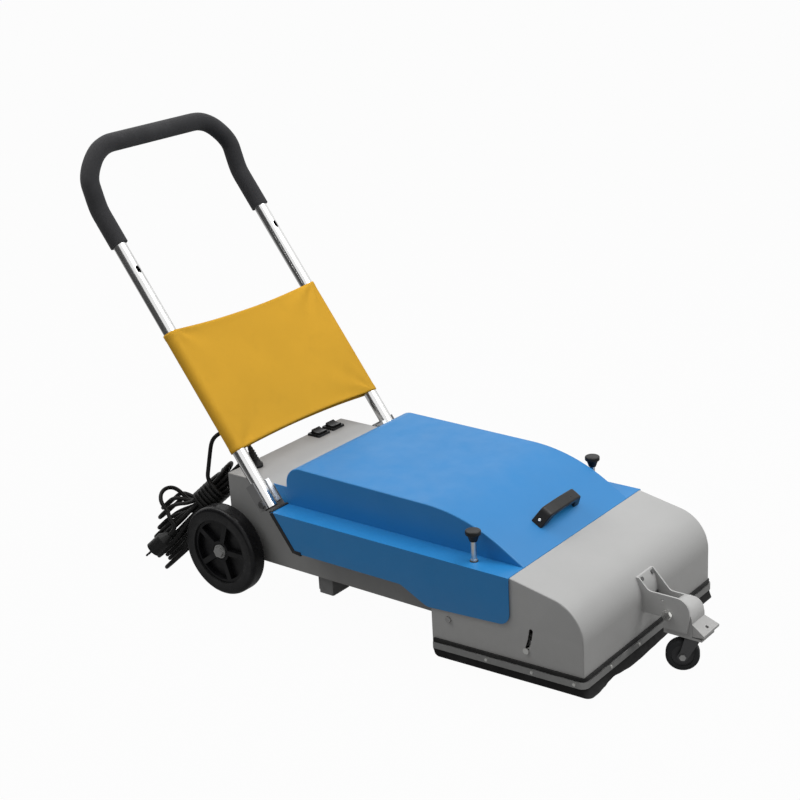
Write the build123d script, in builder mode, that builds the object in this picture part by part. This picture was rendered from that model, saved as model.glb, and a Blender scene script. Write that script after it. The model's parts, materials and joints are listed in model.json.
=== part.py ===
"""Walk-behind escalator cleaning machine, built as separate pieces in one frame.

Millimetres. Z is up from the floor, the nose points along -Y and the origin
is the middle of the machine on the floor. Places along the machine are given
as f, counted forward from the rear wall of the body. Left is -X.
"""

import math
import os

import numpy as np
from build123d import *

os.makedirs("parts", exist_ok=True)

# Clearances
FIT = 0.05  # running fit, on the radius
SEAT = 0.1  # between pieces bolted or pressed together on curved faces
GAP = 0.3  # between pieces that only lie beside each other

# Body tub and deck
SHEET = 2.0
BODY_SHOULDER = 57.0  # head's side to body's side
BODY_BOTTOM = 84.0
DECK_Z = 288.0
DECK_LENGTH = 184.0
NOTCH_DEPTH = 36.0  # step in the rear lower edge that takes the axle
NOTCH_Z = 126.0

# Brush head
HEAD_WIDTH = 532.0  # the widths of hood, body and handle follow it
HEAD_REAR = 630.0
HEAD_LENGTH = 380.0
HEAD_BOTTOM = 42.0
HEAD_EDGE = 3.0  # bend radius along the side edges
NOSE_SLOPE = 11.0
NOSE_RADIUS = 86.0

# Rubber skirt and its clamp strip
RUBBER = 5.0
RUBBER_CORNER = 14.0
RUBBER_BOTTOM = 31.0  # heights at the front
RUBBER_TOP = 73.0
SKIRT_FALL = 0.033  # drop towards the rear, as a share of the run
STRIP = 2.5
STRIP_BOTTOM = 50.0
STRIP_TOP = 65.0
STRIP_SCREW = 7.0

# Hood
HOOD_CLEAR = 2.0  # head's side to the hood's inner face
HOOD_REAR = 185.0
SHOULDER_Z = 252.0
SEAM = 834.0  # station of the hood's front edge
DOME_Z = 346.0
DOME_FALL = 0.83
DOME_FRONT = 31.0
DOME_BEND = 400.0
DOME_REAR_RADIUS = 44.0
DOME_EDGE = 3.0
SKIRT_Z = 166.0
SKIRT_STEP = 551.0
SKIRT_STEP_RUN = 70.0
SKIRT_LOW_Z = 131.0
SKIRT_RISE = 13.0
SKIRT_CORNER = 27.0
EAR_LENGTH = 39.0
EAR_HEIGHT = 41.0

# Pull handle on the hood
PULL_LENGTH = 157.0
PULL_CREST = 122.0  # length over the top of the bar
PULL_ARCH = 3.0
PULL_WIDTH = 28.0
PULL_HEIGHT = 36.0
PULL_BAR = 12.0
PULL_FOOT = 23.0
PULL_FROM_SEAM = 56.0

# Rear wheels
WHEEL_D = 220.0
WHEEL_WIDTH = 44.0
WHEEL_INSET = 19.0  # body side to tyre
AXLE_F = 8.0
RIM_D = 160.0
HUB_WIDTH = 35.0
BOSS_D = 50.0
BOSS_WIDTH = 33.0
SPOKES = 5
AXLE_D = 20.0
AXLE_COLLAR_D = 28.0
AXLE_NUT = 24.0
AXLE_BLOCK = 20.0

# Push handle
RAIL_D = 32.0
RAIL_WALL = 2.0
RAIL_OUT = 30.0  # body's side to the rail's centre
PIVOT_F = 151.0
PIVOT_Z = 259.0
RAIL_LEAN = 36.0
BEND_UP = 788.0  # pivot to the bend, along the rail
GRIP_LEAN = 18.0
GRIP_RISE = 143.0
BEND_RADIUS = 110.0
CORNER_RADIUS = 105.0
RAIL_FOOT = 14.0
GRIP_D = 45.0
GRIP_START = 684.0
SLOT_UP = 617.0
SLOT_LENGTH = 20.0
SLOT_WIDTH = 10.0
PIVOT_D = 10.0
HINGE_LENGTH = 56.0
HINGE_DEPTH = 24.0
HINGE_BELOW = 8.0
BRACKET_SHEET = 3.0
BRACKET_START = 23.0
BRACKET_END = 53.0
BRACKET_TAB = 30.0

# Cloth sleeve over the rails
SLEEVE_START = 132.0
SLEEVE_LENGTH = 317.0
SLEEVE_WALL = 3.0

# Rest feet under the body
FOOT_F = 250.0
FOOT_LENGTH = 42.0
FOOT_WIDTH = 60.0
FOOT_INSET = 12.0
FOOT_BOTTOM = 37.0
FOOT_PAD = 8.0

# Rocker switches
SWITCH_F = 22.0
SWITCH_X = (97.0, 152.0)
BEZEL_WIDTH = 46.0
BEZEL_LENGTH = 40.0
BEZEL_RISE = 5.0
ROCKER_WIDTH = 30.0
ROCKER_LENGTH = 28.0
ROCKER_RISE = 7.0
ROCKER_TILT = 9.0
SWITCH_DEPTH = 30.0

# Brush drive
JACK_F = 683.0
JACK_Z = 170.0
JACK_D = 20.0
ARM_LENGTH = 203.0
ARM_DIP = 21.4
ARM_SWING = 14.0
ARM_SHEET = 6.0
BEARING_SHEET = 8.0
GUIDE_D = 9.0
GUIDE_HEAD = 14.0
TIE_F = 92.0
TIE_UP = 12.0
TIE_D = 20.0
BEARING_BOLT_F = -8.0
BEARING_BOLT_UP = -56.0
BEARING_BOLT_D = 8.0
BRUSH_D = 124.0
BRUSH_CORE_D = 74.0
BRUSH_ROWS = 10
BRISTLE_ROOT = 7.0
BRISTLE_SLOT = 6.0
PULLEY_WIDTH = 16.0
BELT = 4.0
MOTOR_PULLEY_D = 50.0
JACK_PULLEY_D = 90.0
JACK_DRIVE_D = 56.0
BRUSH_PULLEY_D = 62.0
DRIVE_BELT_INSET = 31.0  # body's side to the middle of the drive belt
BRUSH_BELT_INSET = 26.0  # carriage plate to the middle of the brush belt
MOTOR_BEHIND = 70.0  # motor's axis to the head's rear wall
MOTOR_Z = 226.0
MOTOR_D = 110.0
MOTOR_FROM_BELT = 28.0
MOTOR_LENGTH = 190.0
MOTOR_SHAFT_D = 16.0

# Brush height adjusters
KNOB_INSET = 29.0  # head's side to the adjuster's axis
KNOB_F = 727.0
KNOB_D = 34.0
KNOB_TOP = 323.0
KNOB_HEIGHT = 25.0
KNOB_CAP = 10.0
SCREW_D = 12.0
SCREW_BOTTOM = 128.0
BUSH_D = 18.0
BUSH_FLANGE = 27.0
LUG_LENGTH = 34.0
LUG_DEPTH = 14.0

# Suction side
DUST_REAR = 230.0
DUST_LENGTH = 195.0
DUST_SIDE = 19.0  # body's side to the dust box
DUST_HEIGHT = 150.0
DUCT_LEFT = -150.0
DUCT_WIDTH = 110.0
DUCT_Z = 96.0
DUCT_HEIGHT = 44.0
MOUTH_F = 704.0
MOUTH_LENGTH = 56.0
MOUTH_WIDTH = 300.0
MOUTH_Z = 58.0
VAC_D = 140.0
VAC_HEIGHT = 140.0
VAC_F = 114.0
VAC_INLET_D = 54.0

# Front caster unit
BRACKET_WIDTH = 64.0
BRACKET_PLATE = 4.0
BRACKET_TOP = 197.0
BRACKET_SHELF = 173.0  # top of the left cheek
BRACKET_SHELF_RIGHT = 153.0
BRACKET_LOW = 122.0
BRACKET_DROP = 97.0
BRACKET_REACH = 111.0  # head front to the bracket's nose
BRACKET_SLANT = 6.0
BRACKET_BACK = 51.0  # head front to the lower notch
BRACKET_NOSE = 30.0
BRACKET_ELBOW = 16.0
BRACKET_EYE_D = 6.0
LEVER_OUT = 60.0  # head front to the lever's pivot
LEVER_Z = 129.0
LEVER_BOLT_D = 12.0
LEVER_COVER_OUT = 82.0
LEVER_COVER_Z = 123.0
LEVER_COVER = 33.0
LEVER_SHEET = 3.5
CASTER_OUT = 102.0  # head front to the swivel axis
CASTER_PLATE = 5.0
CASTER_PLATE_LENGTH = 80.0
CASTER_D = 72.0
CASTER_WIDTH = 24.0
CASTER_TRAIL = 20.0
CASTER_TURN = -28.0
CASTER_HUB_D = 48.0
CASTER_AXLE_D = 8.0
FORK_SHEET = 3.0
FORK_TOP = 84.0
FORK_CROWN = 6.0
FORK_D = 46.0
PEDAL_OUT = 44.0  # swivel axis to the pedal's tip
PEDAL_SHEET = 5.0
PEDAL_TIP_WIDTH = 68.0
PEDAL_TIP_Z = 103.0
PEDAL_FLARE = 58.0  # pivot to where the pedal, past the cheeks, is as wide as the cover
PEDAL_HOLE_D = 8.0
PEDAL_HOLE_BACK = 12.0  # pedal's tip to its hole, along the pedal
BRACKET_SCREW = 9.0

# Mains cord
CORD_D = 10.0
BOOT_INSET = 65.0  # body's side to the boot
BOOT_F = 32.0
BOOT_D = 22.0
BOOT_TIP_D = 14.0
BOOT_HEIGHT = 46.0
BOOT_LEAN = (-4.0, -13.0)  # its tip, drawn towards the hank by the lead
BOOT_NUT = 28.0
BOOT_NUT_HEIGHT = 9.0
HANK_LOOPS = 3  # in each layer
HANK_PITCH = 11.8
HANK_FACETS = 6  # sides of the cord's section inside the hank
HANK_LAYER = 10.6
HANK_FAN = 3.2  # spacing of the layers at the low end over that at the waist
HANK_WAIST = 9.0
HANK_EYE = 20.0
HANK_TOP = (46.0, 104.0, 58.0, 44.0)  # reach of each layer above the waist
HANK_LOW = (103.0, 152.0, 176.0, 174.0)  # and below it
WRAPS = 5
WRAP_PITCH = 10.8
WRAP_START = -24.0
WRAP_TURN = 22.0
WRAP_BEND = 18.0
WRAP_LEAVE = 48.0  # radius of the bend into the free lead
WRAP_LEAVE_TURN = 50.0
LEAD_FIRST = 29.0  # first and last straight runs of the free lead
LEAD_LAST = 21.0
LEAD_POINTS = (  # towards the boot and up from the lead's start
    (13.0, 65.0),
    (26.0, 82.0),
    (45.0, 92.0),
    (66.0, 93.5),
    (86.0, 86.5),
)
LOOSE_LOW = 127.0  # waist to the plug
LOOSE_DEEP = 20.0
LOOSE_BEND = 18.0
LOOSE_OUT = 53.0
LOOSE_RISE = 38.0
LOOSE_ROUND = 34.0
HANK_UP = (0.459, -0.597, 0.655)
HANK_DEEP = (0.187, -0.657, -0.729)
HANK_INSET = 43.0  # body's side to the hank's origin, towards the middle
HANK_PLACE = (-112.0, 209.0)  # its station and height
PLUG_D = 38.0
PLUG_LENGTH = 58.0
PIN_D = 4.8
PIN_LENGTH = 19.0
PIN_SPACING = 19.0

# Sizes that follow from the ones above
head_half = HEAD_WIDTH / 2
hood_half = head_half + HOOD_CLEAR + SHEET
body_half = head_half - BODY_SHOULDER
dome_half = body_half + SHEET + 0.5
rail_x = body_half + RAIL_OUT
head_front = HEAD_REAR + HEAD_LENGTH
seam_jog = SEAM + 1
head_top = SHOULDER_Z - GAP
shelf_z = SHOULDER_Z - SHEET - GAP
axle_z = WHEEL_D / 2
lean = math.radians(RAIL_LEAN)
grip_lean = math.radians(GRIP_LEAN)
slope = math.radians(NOSE_SLOPE)
bend_f = PIVOT_F - BEND_UP * math.sin(lean)
bend_z = PIVOT_Z + BEND_UP * math.cos(lean)
top_f = bend_f - GRIP_RISE * math.sin(grip_lean)
top_z = bend_z + GRIP_RISE * math.cos(grip_lean)
caster_f = head_front + CASTER_OUT
pedal_tip = caster_f + PEDAL_OUT
REAR_Y = (pedal_tip + top_f - GRIP_D / 2) / 2
arm_dip = math.radians(ARM_DIP)
brush_f = JACK_F + ARM_LENGTH * math.cos(arm_dip)
brush_z = JACK_Z - ARM_LENGTH * math.sin(arm_dip)
head_inside = head_half - SHEET
knob_x = head_half - KNOB_INSET
bearing_inner = head_inside - BEARING_SHEET
arm_inner = bearing_inner - GAP - ARM_SHEET
brush_belt_x = BRUSH_BELT_INSET - arm_inner
drive_belt_x = body_half - DRIVE_BELT_INSET
motor_end = drive_belt_x - MOTOR_FROM_BELT
motor_f = HEAD_REAR - MOTOR_BEHIND
skirt_drop = SKIRT_FALL * HEAD_LENGTH
boot_x = BOOT_INSET - body_half
hank_layers = len(HANK_LOW)


def at(x, f, z):
    """The place f forward of the rear wall, as a point of the model."""
    return Vector(x, REAR_Y - f, z)


def side(x):
    """Upright plane along the machine: f to the right, height up, facing left."""
    return Plane(origin=at(x, 0, 0), x_dir=(0, -1, 0), z_dir=(-1, 0, 0))


def side_slab(hand, inner, width):
    """Side plane from which an extrusion of the width starts inner from the middle."""
    return side(-inner) if hand < 0 else side(inner + width)


def front(f):
    """Upright plane across the machine, facing forward."""
    return Plane(origin=at(0, f, 0), x_dir=(1, 0, 0), z_dir=(0, -1, 0))


def level(z):
    """Level plane facing up: x to the right and -f up the sketch."""
    return Plane(origin=at(0, 0, z), x_dir=(1, 0, 0), z_dir=(0, 0, 1))


def rail_plane(along):
    """Plane square to the rails: forward across the rail, then +X, facing up the rail."""
    f, z = on_rail(along, 0)
    return Plane(
        origin=at(0, f, z),
        x_dir=(0, -math.cos(lean), math.sin(lean)),
        z_dir=(0, math.sin(lean), math.cos(lean)),
    )


def on_rail(along, across):
    """Side view place that far up the rail from its pivot and that far in front of it."""
    f = PIVOT_F - along * math.sin(lean) + across * math.cos(lean)
    z = PIVOT_Z + along * math.cos(lean) + across * math.sin(lean)
    return f, z


def round_corner(point, radius):
    """Rounds the corner of the open sketch that lies nearest to the point."""
    fillet(vertices().sort_by_distance(Vertex(point[0], point[1], 0))[0], radius)


def finish(builder, name):
    """Labels a finished piece and writes its file."""
    builder.part.label = name
    export_step(builder.part, f"parts/{name}.step")


# Body: an open tub with a notch for the axle, and the deck that closes its rear.
with BuildPart() as body_tub:
    with BuildSketch(side(0)):
        with BuildLine():
            Polyline(
                (0, NOTCH_Z),
                (NOTCH_DEPTH, NOTCH_Z),
                (NOTCH_DEPTH, BODY_BOTTOM),
                (HEAD_REAR, BODY_BOTTOM),
                (HEAD_REAR, shelf_z),
                (DECK_LENGTH, shelf_z),
                (DECK_LENGTH, DECK_Z - SHEET),
                (0, DECK_Z - SHEET),
                close=True,
            )
        make_face()
    extrude(amount=body_half, both=True)
    with BuildSketch(side(0)):
        with BuildLine():
            Polyline(
                (SHEET, NOTCH_Z + SHEET),
                (NOTCH_DEPTH + SHEET, NOTCH_Z + SHEET),
                (NOTCH_DEPTH + SHEET, BODY_BOTTOM + SHEET),
                (HEAD_REAR + SHEET, BODY_BOTTOM + SHEET),
                (HEAD_REAR + SHEET, DECK_Z),
                (SHEET, DECK_Z),
                close=True,
            )
        make_face()
    extrude(amount=body_half - SHEET, both=True, mode=Mode.SUBTRACT)
    with BuildSketch(side(0)):
        with Locations((PIVOT_F, PIVOT_Z)):
            Circle(PIVOT_D / 2 + FIT)
    extrude(amount=body_half + SHEET, both=True, mode=Mode.SUBTRACT)
finish(body_tub, "body_tub")

with BuildPart() as control_deck:
    with BuildSketch(level(DECK_Z - SHEET)):
        with Locations((0, -DECK_LENGTH / 2)):
            Rectangle(2 * body_half, DECK_LENGTH)
        with Locations(*[(x, -SWITCH_F) for x in SWITCH_X]):
            Rectangle(
                ROCKER_WIDTH + 2 * SHEET + 2 * GAP + 1,
                ROCKER_LENGTH + 2 * SHEET + 2 * GAP + 1,
                mode=Mode.SUBTRACT,
            )
        with Locations((boot_x, -BOOT_F)):
            Circle(BOOT_D / 2 + SEAT, mode=Mode.SUBTRACT)
    extrude(amount=SHEET)
finish(control_deck, "control_deck")


# Brush head: a folded shell, open below, with a rolled nose.
def draw_head(inset, bottom):
    """Side outline of the head, drawn inwards by the inset, into the open sketch."""
    rise = head_top - inset / math.cos(slope)
    jog = seam_jog + inset
    nose_f = head_front - inset
    nose_z = rise - (nose_f - seam_jog) * math.tan(slope)
    with BuildLine() as outline:
        Polyline(
            (HEAD_REAR + inset, bottom - skirt_drop),
            (HEAD_REAR + inset, shelf_z - inset),
            (jog, shelf_z - inset),
            (jog, rise - inset * math.tan(slope)),
            (nose_f, nose_z),
            (nose_f, bottom),
            close=True,
        )
    make_face(outline.edges())
    round_corner((nose_f, nose_z), NOSE_RADIUS - inset)


def head_block(inset, bottom):
    """The head as a full block with its bent side edges, drawn inwards by the inset."""
    with BuildPart() as block:
        with BuildSketch(side(0)):
            draw_head(inset, bottom)
        extrude(amount=head_half - inset, both=True)
        bends = []
        for place in (
            (SEAM + 60, head_top),
            (head_front, (HEAD_BOTTOM + NOSE_RADIUS) / 2),
            (head_front - NOSE_RADIUS * 0.3, head_top - NOSE_RADIUS * 0.6),
        ):
            for hand in (-1, 1):
                spot = Vertex(*at(hand * (head_half - inset), *place))
                bends.append(block.edges().sort_by_distance(spot)[0])
        fillet(bends, HEAD_EDGE - inset)
    return block.part


head_hollow = head_block(SHEET, HEAD_BOTTOM - SHEET)
guide_arc = CenterArc((JACK_F, JACK_Z), ARM_LENGTH, -ARM_DIP, ARM_SWING)
with BuildPart() as head_shell:
    add(head_block(0, HEAD_BOTTOM))
    add(head_hollow, mode=Mode.SUBTRACT)
    # way through the rear wall for the belt and the suction duct
    with BuildSketch(front(HEAD_REAR)):
        with Locations((0, (BODY_BOTTOM + shelf_z) / 2)):
            Rectangle(
                2 * body_half - 4 * SHEET, shelf_z - BODY_BOTTOM - 6 * SHEET
            )
    extrude(amount=2 * SHEET, both=True, mode=Mode.SUBTRACT)
    with BuildSketch(side(0)):
        SlotArc(guide_arc, GUIDE_D + 2 * GAP)
        with Locations((JACK_F + BEARING_BOLT_F, JACK_Z + BEARING_BOLT_UP)):
            Circle(BEARING_BOLT_D / 2 + SEAT)
    extrude(amount=HEAD_WIDTH, both=True, mode=Mode.SUBTRACT)
    with BuildSketch(level(shelf_z)):
        with Locations((-knob_x, -KNOB_F), (knob_x, -KNOB_F)):
            Circle(BUSH_D / 2 + SEAT)
    extrude(amount=2 * SHEET, both=True, mode=Mode.SUBTRACT)
finish(head_shell, "head_shell")


# Rubber skirt round the foot of the head, its clamp strip and screws.
def draw_skirt(grow, corner, rear):
    """Plan of the head's foot, grown outwards, open to the rear station."""
    half = head_half + grow
    reach = head_front + grow
    with BuildLine() as outline:
        Polyline((-half, -rear), (-half, -reach), (half, -reach), (half, -rear), close=True)
    make_face(outline.edges())
    for hand in (-1, 1):
        round_corner((hand * half, -reach), corner)


def skirt_band(inner, outer, bottom, top):
    """A band round the sides and front of the head, falling towards the rear.

    Inner and outer are each a distance from the head and a corner radius.
    """
    rear = HEAD_REAR + RUBBER
    reach = head_front + RUBBER + STRIP
    with BuildPart() as band:
        with BuildSketch(side(0)):
            with BuildLine() as outline:
                Polyline(
                    (rear, bottom - skirt_drop),
                    (reach, bottom),
                    (reach, top),
                    (rear, top - skirt_drop),
                    close=True,
                )
            make_face(outline.edges())
        extrude(amount=hood_half + RUBBER, both=True)
        with BuildSketch(level(0)):
            draw_skirt(*outer, rear)
        extrude(amount=SHOULDER_Z, mode=Mode.INTERSECT)
        with BuildSketch(level(0)):
            draw_skirt(*inner, rear - HEAD_LENGTH)
        extrude(amount=SHOULDER_Z, mode=Mode.SUBTRACT)
    return band


on_head = (SEAT, HEAD_EDGE + SEAT)
on_rubber = (RUBBER, RUBBER_CORNER)
on_strip = (RUBBER + STRIP, RUBBER_CORNER + STRIP)
skirt_rubber = skirt_band(on_head, on_rubber, RUBBER_BOTTOM, RUBBER_TOP)
finish(skirt_rubber, "skirt_rubber")
skirt_strip = skirt_band(on_rubber, on_strip, STRIP_BOTTOM, STRIP_TOP)
finish(skirt_strip, "skirt_strip")

strip_mid = (STRIP_BOTTOM + STRIP_TOP) / 2
strip_out = RUBBER + STRIP
with BuildPart() as skirt_screws:
    side_spots = [
        (head_front - HEAD_LENGTH * share, strip_mid - skirt_drop * share)
        for share in (0.05, 0.32, 0.62)
    ]
    for hand in (-1, 1):
        with BuildSketch(side_slab(hand, head_half + strip_out, STRIP_SCREW / 4)):
            with Locations(*side_spots):
                Circle(STRIP_SCREW / 2)
        extrude(amount=STRIP_SCREW / 4)
    with BuildSketch(front(head_front + strip_out)):
        with GridLocations(HEAD_WIDTH * 0.215, 1, 4, 1):
            with Locations((0, strip_mid)):
                Circle(STRIP_SCREW / 2)
    extrude(amount=STRIP_SCREW / 4)
finish(skirt_screws, "skirt_screws")

# Hood: dome, shoulders, side skirts and rear ears, all of one sheet.
dome_tan = math.tan(math.radians(DOME_FRONT))
fall_tan = math.tan(math.radians(DOME_FALL))


def draw_dome(inset, bottom):
    """Side outline of the dome, drawn inwards by the inset, into the open sketch."""
    rear = HOOD_REAR + inset
    roof = DOME_Z - inset
    foot = SHOULDER_Z - inset / math.cos(math.radians(DOME_FRONT))
    ridge_f = (foot + SEAM * dome_tan - roof - HOOD_REAR * fall_tan) / (dome_tan - fall_tan)
    ridge_z = foot + (SEAM - ridge_f) * dome_tan
    rear_z = roof - inset * fall_tan
    with BuildLine() as outline:
        Polyline(
            (rear, bottom),
            (rear, rear_z),
            (ridge_f, ridge_z),
            (SEAM, foot),
            (SEAM, bottom),
            close=True,
        )
    make_face(outline.edges())
    round_corner((rear, rear_z), DOME_REAR_RADIUS - inset)
    round_corner((ridge_f, ridge_z), DOME_BEND - inset)


def dome_block(inset, bottom):
    """The dome as a full block with bent edges, drawn inwards by the inset."""
    with BuildPart() as block:
        with BuildSketch(side(0)):
            draw_dome(inset, bottom)
        extrude(amount=dome_half - inset, both=True)
        bends = []
        for place in (
            (HOOD_REAR, (SHOULDER_Z + DOME_Z - DOME_REAR_RADIUS) / 2),
            (HOOD_REAR + DOME_REAR_RADIUS * 0.3, DOME_Z - DOME_REAR_RADIUS * 0.3),
            ((HOOD_REAR + SKIRT_STEP) / 2, DOME_Z),
            (SEAM - 140, DOME_Z - 20),
            (SEAM - 25, SHOULDER_Z + 15),
        ):
            for hand in (-1, 1):
                spot = Vertex(*at(hand * (dome_half - inset), *place))
                bends.append(block.edges().sort_by_distance(spot)[0])
        fillet(bends, DOME_EDGE - inset)
    return block.part


skirt_slant = (SHOULDER_Z - SKIRT_Z) * math.tan(lean)
ear_slant = EAR_HEIGHT * math.tan(lean)
with BuildPart() as hood:
    with BuildSketch(side(0)):
        with BuildLine():
            Polyline(
                (HOOD_REAR, SHOULDER_Z),
                (HOOD_REAR + skirt_slant, SKIRT_Z),
                (SKIRT_STEP, SKIRT_Z),
                (SKIRT_STEP + SKIRT_STEP_RUN, SKIRT_LOW_Z),
                (SEAM, SKIRT_LOW_Z + SKIRT_RISE),
                (SEAM, SHOULDER_Z),
                close=True,
            )
        make_face()
        round_corner((SEAM, SKIRT_LOW_Z + SKIRT_RISE), SKIRT_CORNER)
        round_corner((SKIRT_STEP, SKIRT_Z), SKIRT_CORNER)
        round_corner((SKIRT_STEP + SKIRT_STEP_RUN, SKIRT_LOW_Z), SKIRT_CORNER)
    extrude(amount=hood_half, both=True)
    add(dome_block(0, SHOULDER_Z - SHEET))
    with BuildSketch(side(0)):
        with Locations(((HOOD_REAR + SEAM) / 2, (SHOULDER_Z - SHEET) / 2)):
            Rectangle(2 * SEAM, SHOULDER_Z - SHEET)
    extrude(amount=hood_half - SHEET, both=True, mode=Mode.SUBTRACT)
    add(dome_block(SHEET, SKIRT_LOW_Z), mode=Mode.SUBTRACT)
    for hand in (-1, 1):
        with BuildSketch(side_slab(hand, dome_half - SHEET, SHEET)):
            with BuildLine():
                Polyline(
                    (HOOD_REAR + SHEET, SHOULDER_Z),
                    (HOOD_REAR + SHEET, SHOULDER_Z + EAR_HEIGHT),
                    (HOOD_REAR - EAR_LENGTH, SHOULDER_Z + EAR_HEIGHT),
                    (HOOD_REAR - EAR_LENGTH + ear_slant, SHOULDER_Z),
                    close=True,
                )
            make_face()
        extrude(amount=SHEET)
    with BuildSketch(level(SHOULDER_Z)):
        with Locations((-knob_x, -KNOB_F), (knob_x, -KNOB_F)):
            Circle(BUSH_D / 2 + GAP)
    extrude(amount=2 * SHEET, both=True, mode=Mode.SUBTRACT)
finish(hood, "hood")

# Pull handle: an arched bar on two feet, standing on the hood's front slope.
pull_f = SEAM - PULL_FROM_SEAM
pull_z = SHOULDER_Z + PULL_FROM_SEAM * dome_tan
pull_tilt = math.radians(DOME_FRONT)
pull_seat = Plane(
    origin=at(0, pull_f, pull_z),
    x_dir=(1, 0, 0),
    z_dir=(0, -math.cos(pull_tilt), -math.sin(pull_tilt)),
)
pull_side = math.degrees(math.atan2(PULL_HEIGHT - PULL_ARCH, (PULL_LENGTH - PULL_CREST) / 2))
with BuildPart() as pull_handle:
    with BuildSketch(pull_seat):
        shoulder = PULL_HEIGHT - PULL_ARCH
        with BuildLine():
            feet = Polyline(
                (-PULL_CREST / 2, shoulder),
                (-PULL_LENGTH / 2, SEAT),
                (PULL_LENGTH / 2, SEAT),
                (PULL_CREST / 2, shoulder),
            )
            ThreePointArc(feet @ 1, (0, PULL_HEIGHT), feet @ 0)
        make_face()
        for hand in (-1, 1):
            round_corner((hand * PULL_CREST / 2, shoulder), PULL_BAR)
        with Locations((0, (PULL_HEIGHT - PULL_BAR) / 2 + SEAT)):
            Trapezoid(
                PULL_LENGTH - 2 * PULL_FOOT,
                PULL_HEIGHT - PULL_BAR,
                pull_side,
                mode=Mode.SUBTRACT,
            )
    extrude(amount=PULL_WIDTH / 2, both=True)
    bar = pull_handle.edges().filter_by(GeomType.CIRCLE).sort_by(Edge.length)[-2:]
    fillet(bar, PULL_BAR / 3)
finish(pull_handle, "pull_handle")

# Rear axle with its collars, bearing blocks and end nuts.
boss_inner = body_half + WHEEL_INSET + (WHEEL_WIDTH - BOSS_WIDTH) / 2
boss_outer = boss_inner + BOSS_WIDTH
block_outer = body_half - GAP
with BuildPart() as rear_axle:
    with BuildSketch(side(0)):
        with Locations((AXLE_F, axle_z)):
            Circle(AXLE_D / 2)
    extrude(amount=boss_outer + GAP, both=True)
    for hand in (-1, 1):
        collar = boss_inner - block_outer - 2 * GAP
        with BuildSketch(side_slab(hand, block_outer + GAP, collar)):
            with Locations((AXLE_F, axle_z)):
                Circle(AXLE_COLLAR_D / 2)
        extrude(amount=collar)
finish(rear_axle, "rear_axle")

with BuildPart() as axle_blocks:
    for hand in (-1, 1):
        with BuildSketch(side_slab(hand, block_outer - AXLE_BLOCK, AXLE_BLOCK)):
            with Locations((AXLE_F, axle_z)):
                Circle(AXLE_COLLAR_D / 2 + SHEET)
            with BuildLine():
                Polyline(
                    (AXLE_F - AXLE_COLLAR_D / 2 - SHEET, axle_z),
                    (AXLE_F - AXLE_COLLAR_D / 2 - SHEET, NOTCH_Z),
                    (NOTCH_DEPTH, NOTCH_Z),
                    (NOTCH_DEPTH, BODY_BOTTOM),
                    (AXLE_F, axle_z - AXLE_COLLAR_D / 2 - SHEET),
                    close=True,
                )
            make_face()
            with Locations((AXLE_F, axle_z)):
                Circle(AXLE_D / 2 + SEAT, mode=Mode.SUBTRACT)
        extrude(amount=AXLE_BLOCK)
finish(axle_blocks, "axle_blocks")

with BuildPart() as axle_nuts:
    for hand in (-1, 1):
        with BuildSketch(side_slab(hand, boss_outer + GAP, AXLE_NUT / 8)):
            with Locations((AXLE_F, axle_z)):
                Circle(AXLE_NUT * 0.7)
        extrude(amount=AXLE_NUT / 8)
        with BuildSketch(side_slab(hand, boss_outer + GAP + AXLE_NUT / 8, AXLE_NUT / 4)):
            with Locations((AXLE_F, axle_z)):
                RegularPolygon(AXLE_NUT / 2, 6, major_radius=False)
        extrude(amount=AXLE_NUT / 4)
finish(axle_nuts, "axle_nuts")


def rear_hub(hand):
    """Moulded hub: rim, five deep pockets between spokes, and a bored boss."""
    inner = body_half + WHEEL_INSET + (WHEEL_WIDTH - HUB_WIDTH) / 2
    web_inner = inner + HUB_WIDTH * 0.35
    rim = RIM_D / 2
    with BuildPart() as hub:
        with BuildSketch(side_slab(hand, inner, HUB_WIDTH)):
            with Locations((AXLE_F, axle_z)):
                Circle(rim)
        extrude(amount=HUB_WIDTH)
        for start in (inner, web_inner + HUB_WIDTH * 0.3):
            depth = HUB_WIDTH * 0.35
            with BuildSketch(side_slab(hand, start, depth)):
                with Locations((AXLE_F, axle_z)):
                    Circle(rim - 8)
                    Circle(BOSS_D / 2 - 6, mode=Mode.SUBTRACT)
                    with PolarLocations(0, SPOKES):
                        with Locations((rim / 2, 0)):
                            Rectangle(rim, 13, mode=Mode.SUBTRACT)
            extrude(amount=depth, mode=Mode.SUBTRACT)
        with BuildSketch(side_slab(hand, inner, HUB_WIDTH)):
            with Locations((AXLE_F, axle_z)):
                Circle(BOSS_D / 2)
        extrude(amount=HUB_WIDTH)
        with BuildSketch(side_slab(hand, boss_outer, HUB_WIDTH)):
            with Locations((AXLE_F, axle_z)):
                Circle(BOSS_D / 2 - 3)
        extrude(amount=HUB_WIDTH, mode=Mode.SUBTRACT)
        with BuildSketch(side_slab(hand, boss_inner - HUB_WIDTH, HUB_WIDTH)):
            with Locations((AXLE_F, axle_z)):
                Circle(BOSS_D / 2 - 3)
        extrude(amount=HUB_WIDTH, mode=Mode.SUBTRACT)
        with BuildSketch(side_slab(hand, inner - HUB_WIDTH, 3 * HUB_WIDTH)):
            with Locations((AXLE_F, axle_z)):
                Circle(AXLE_D / 2 + FIT)
        extrude(amount=3 * HUB_WIDTH, mode=Mode.SUBTRACT)
    return hub


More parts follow.
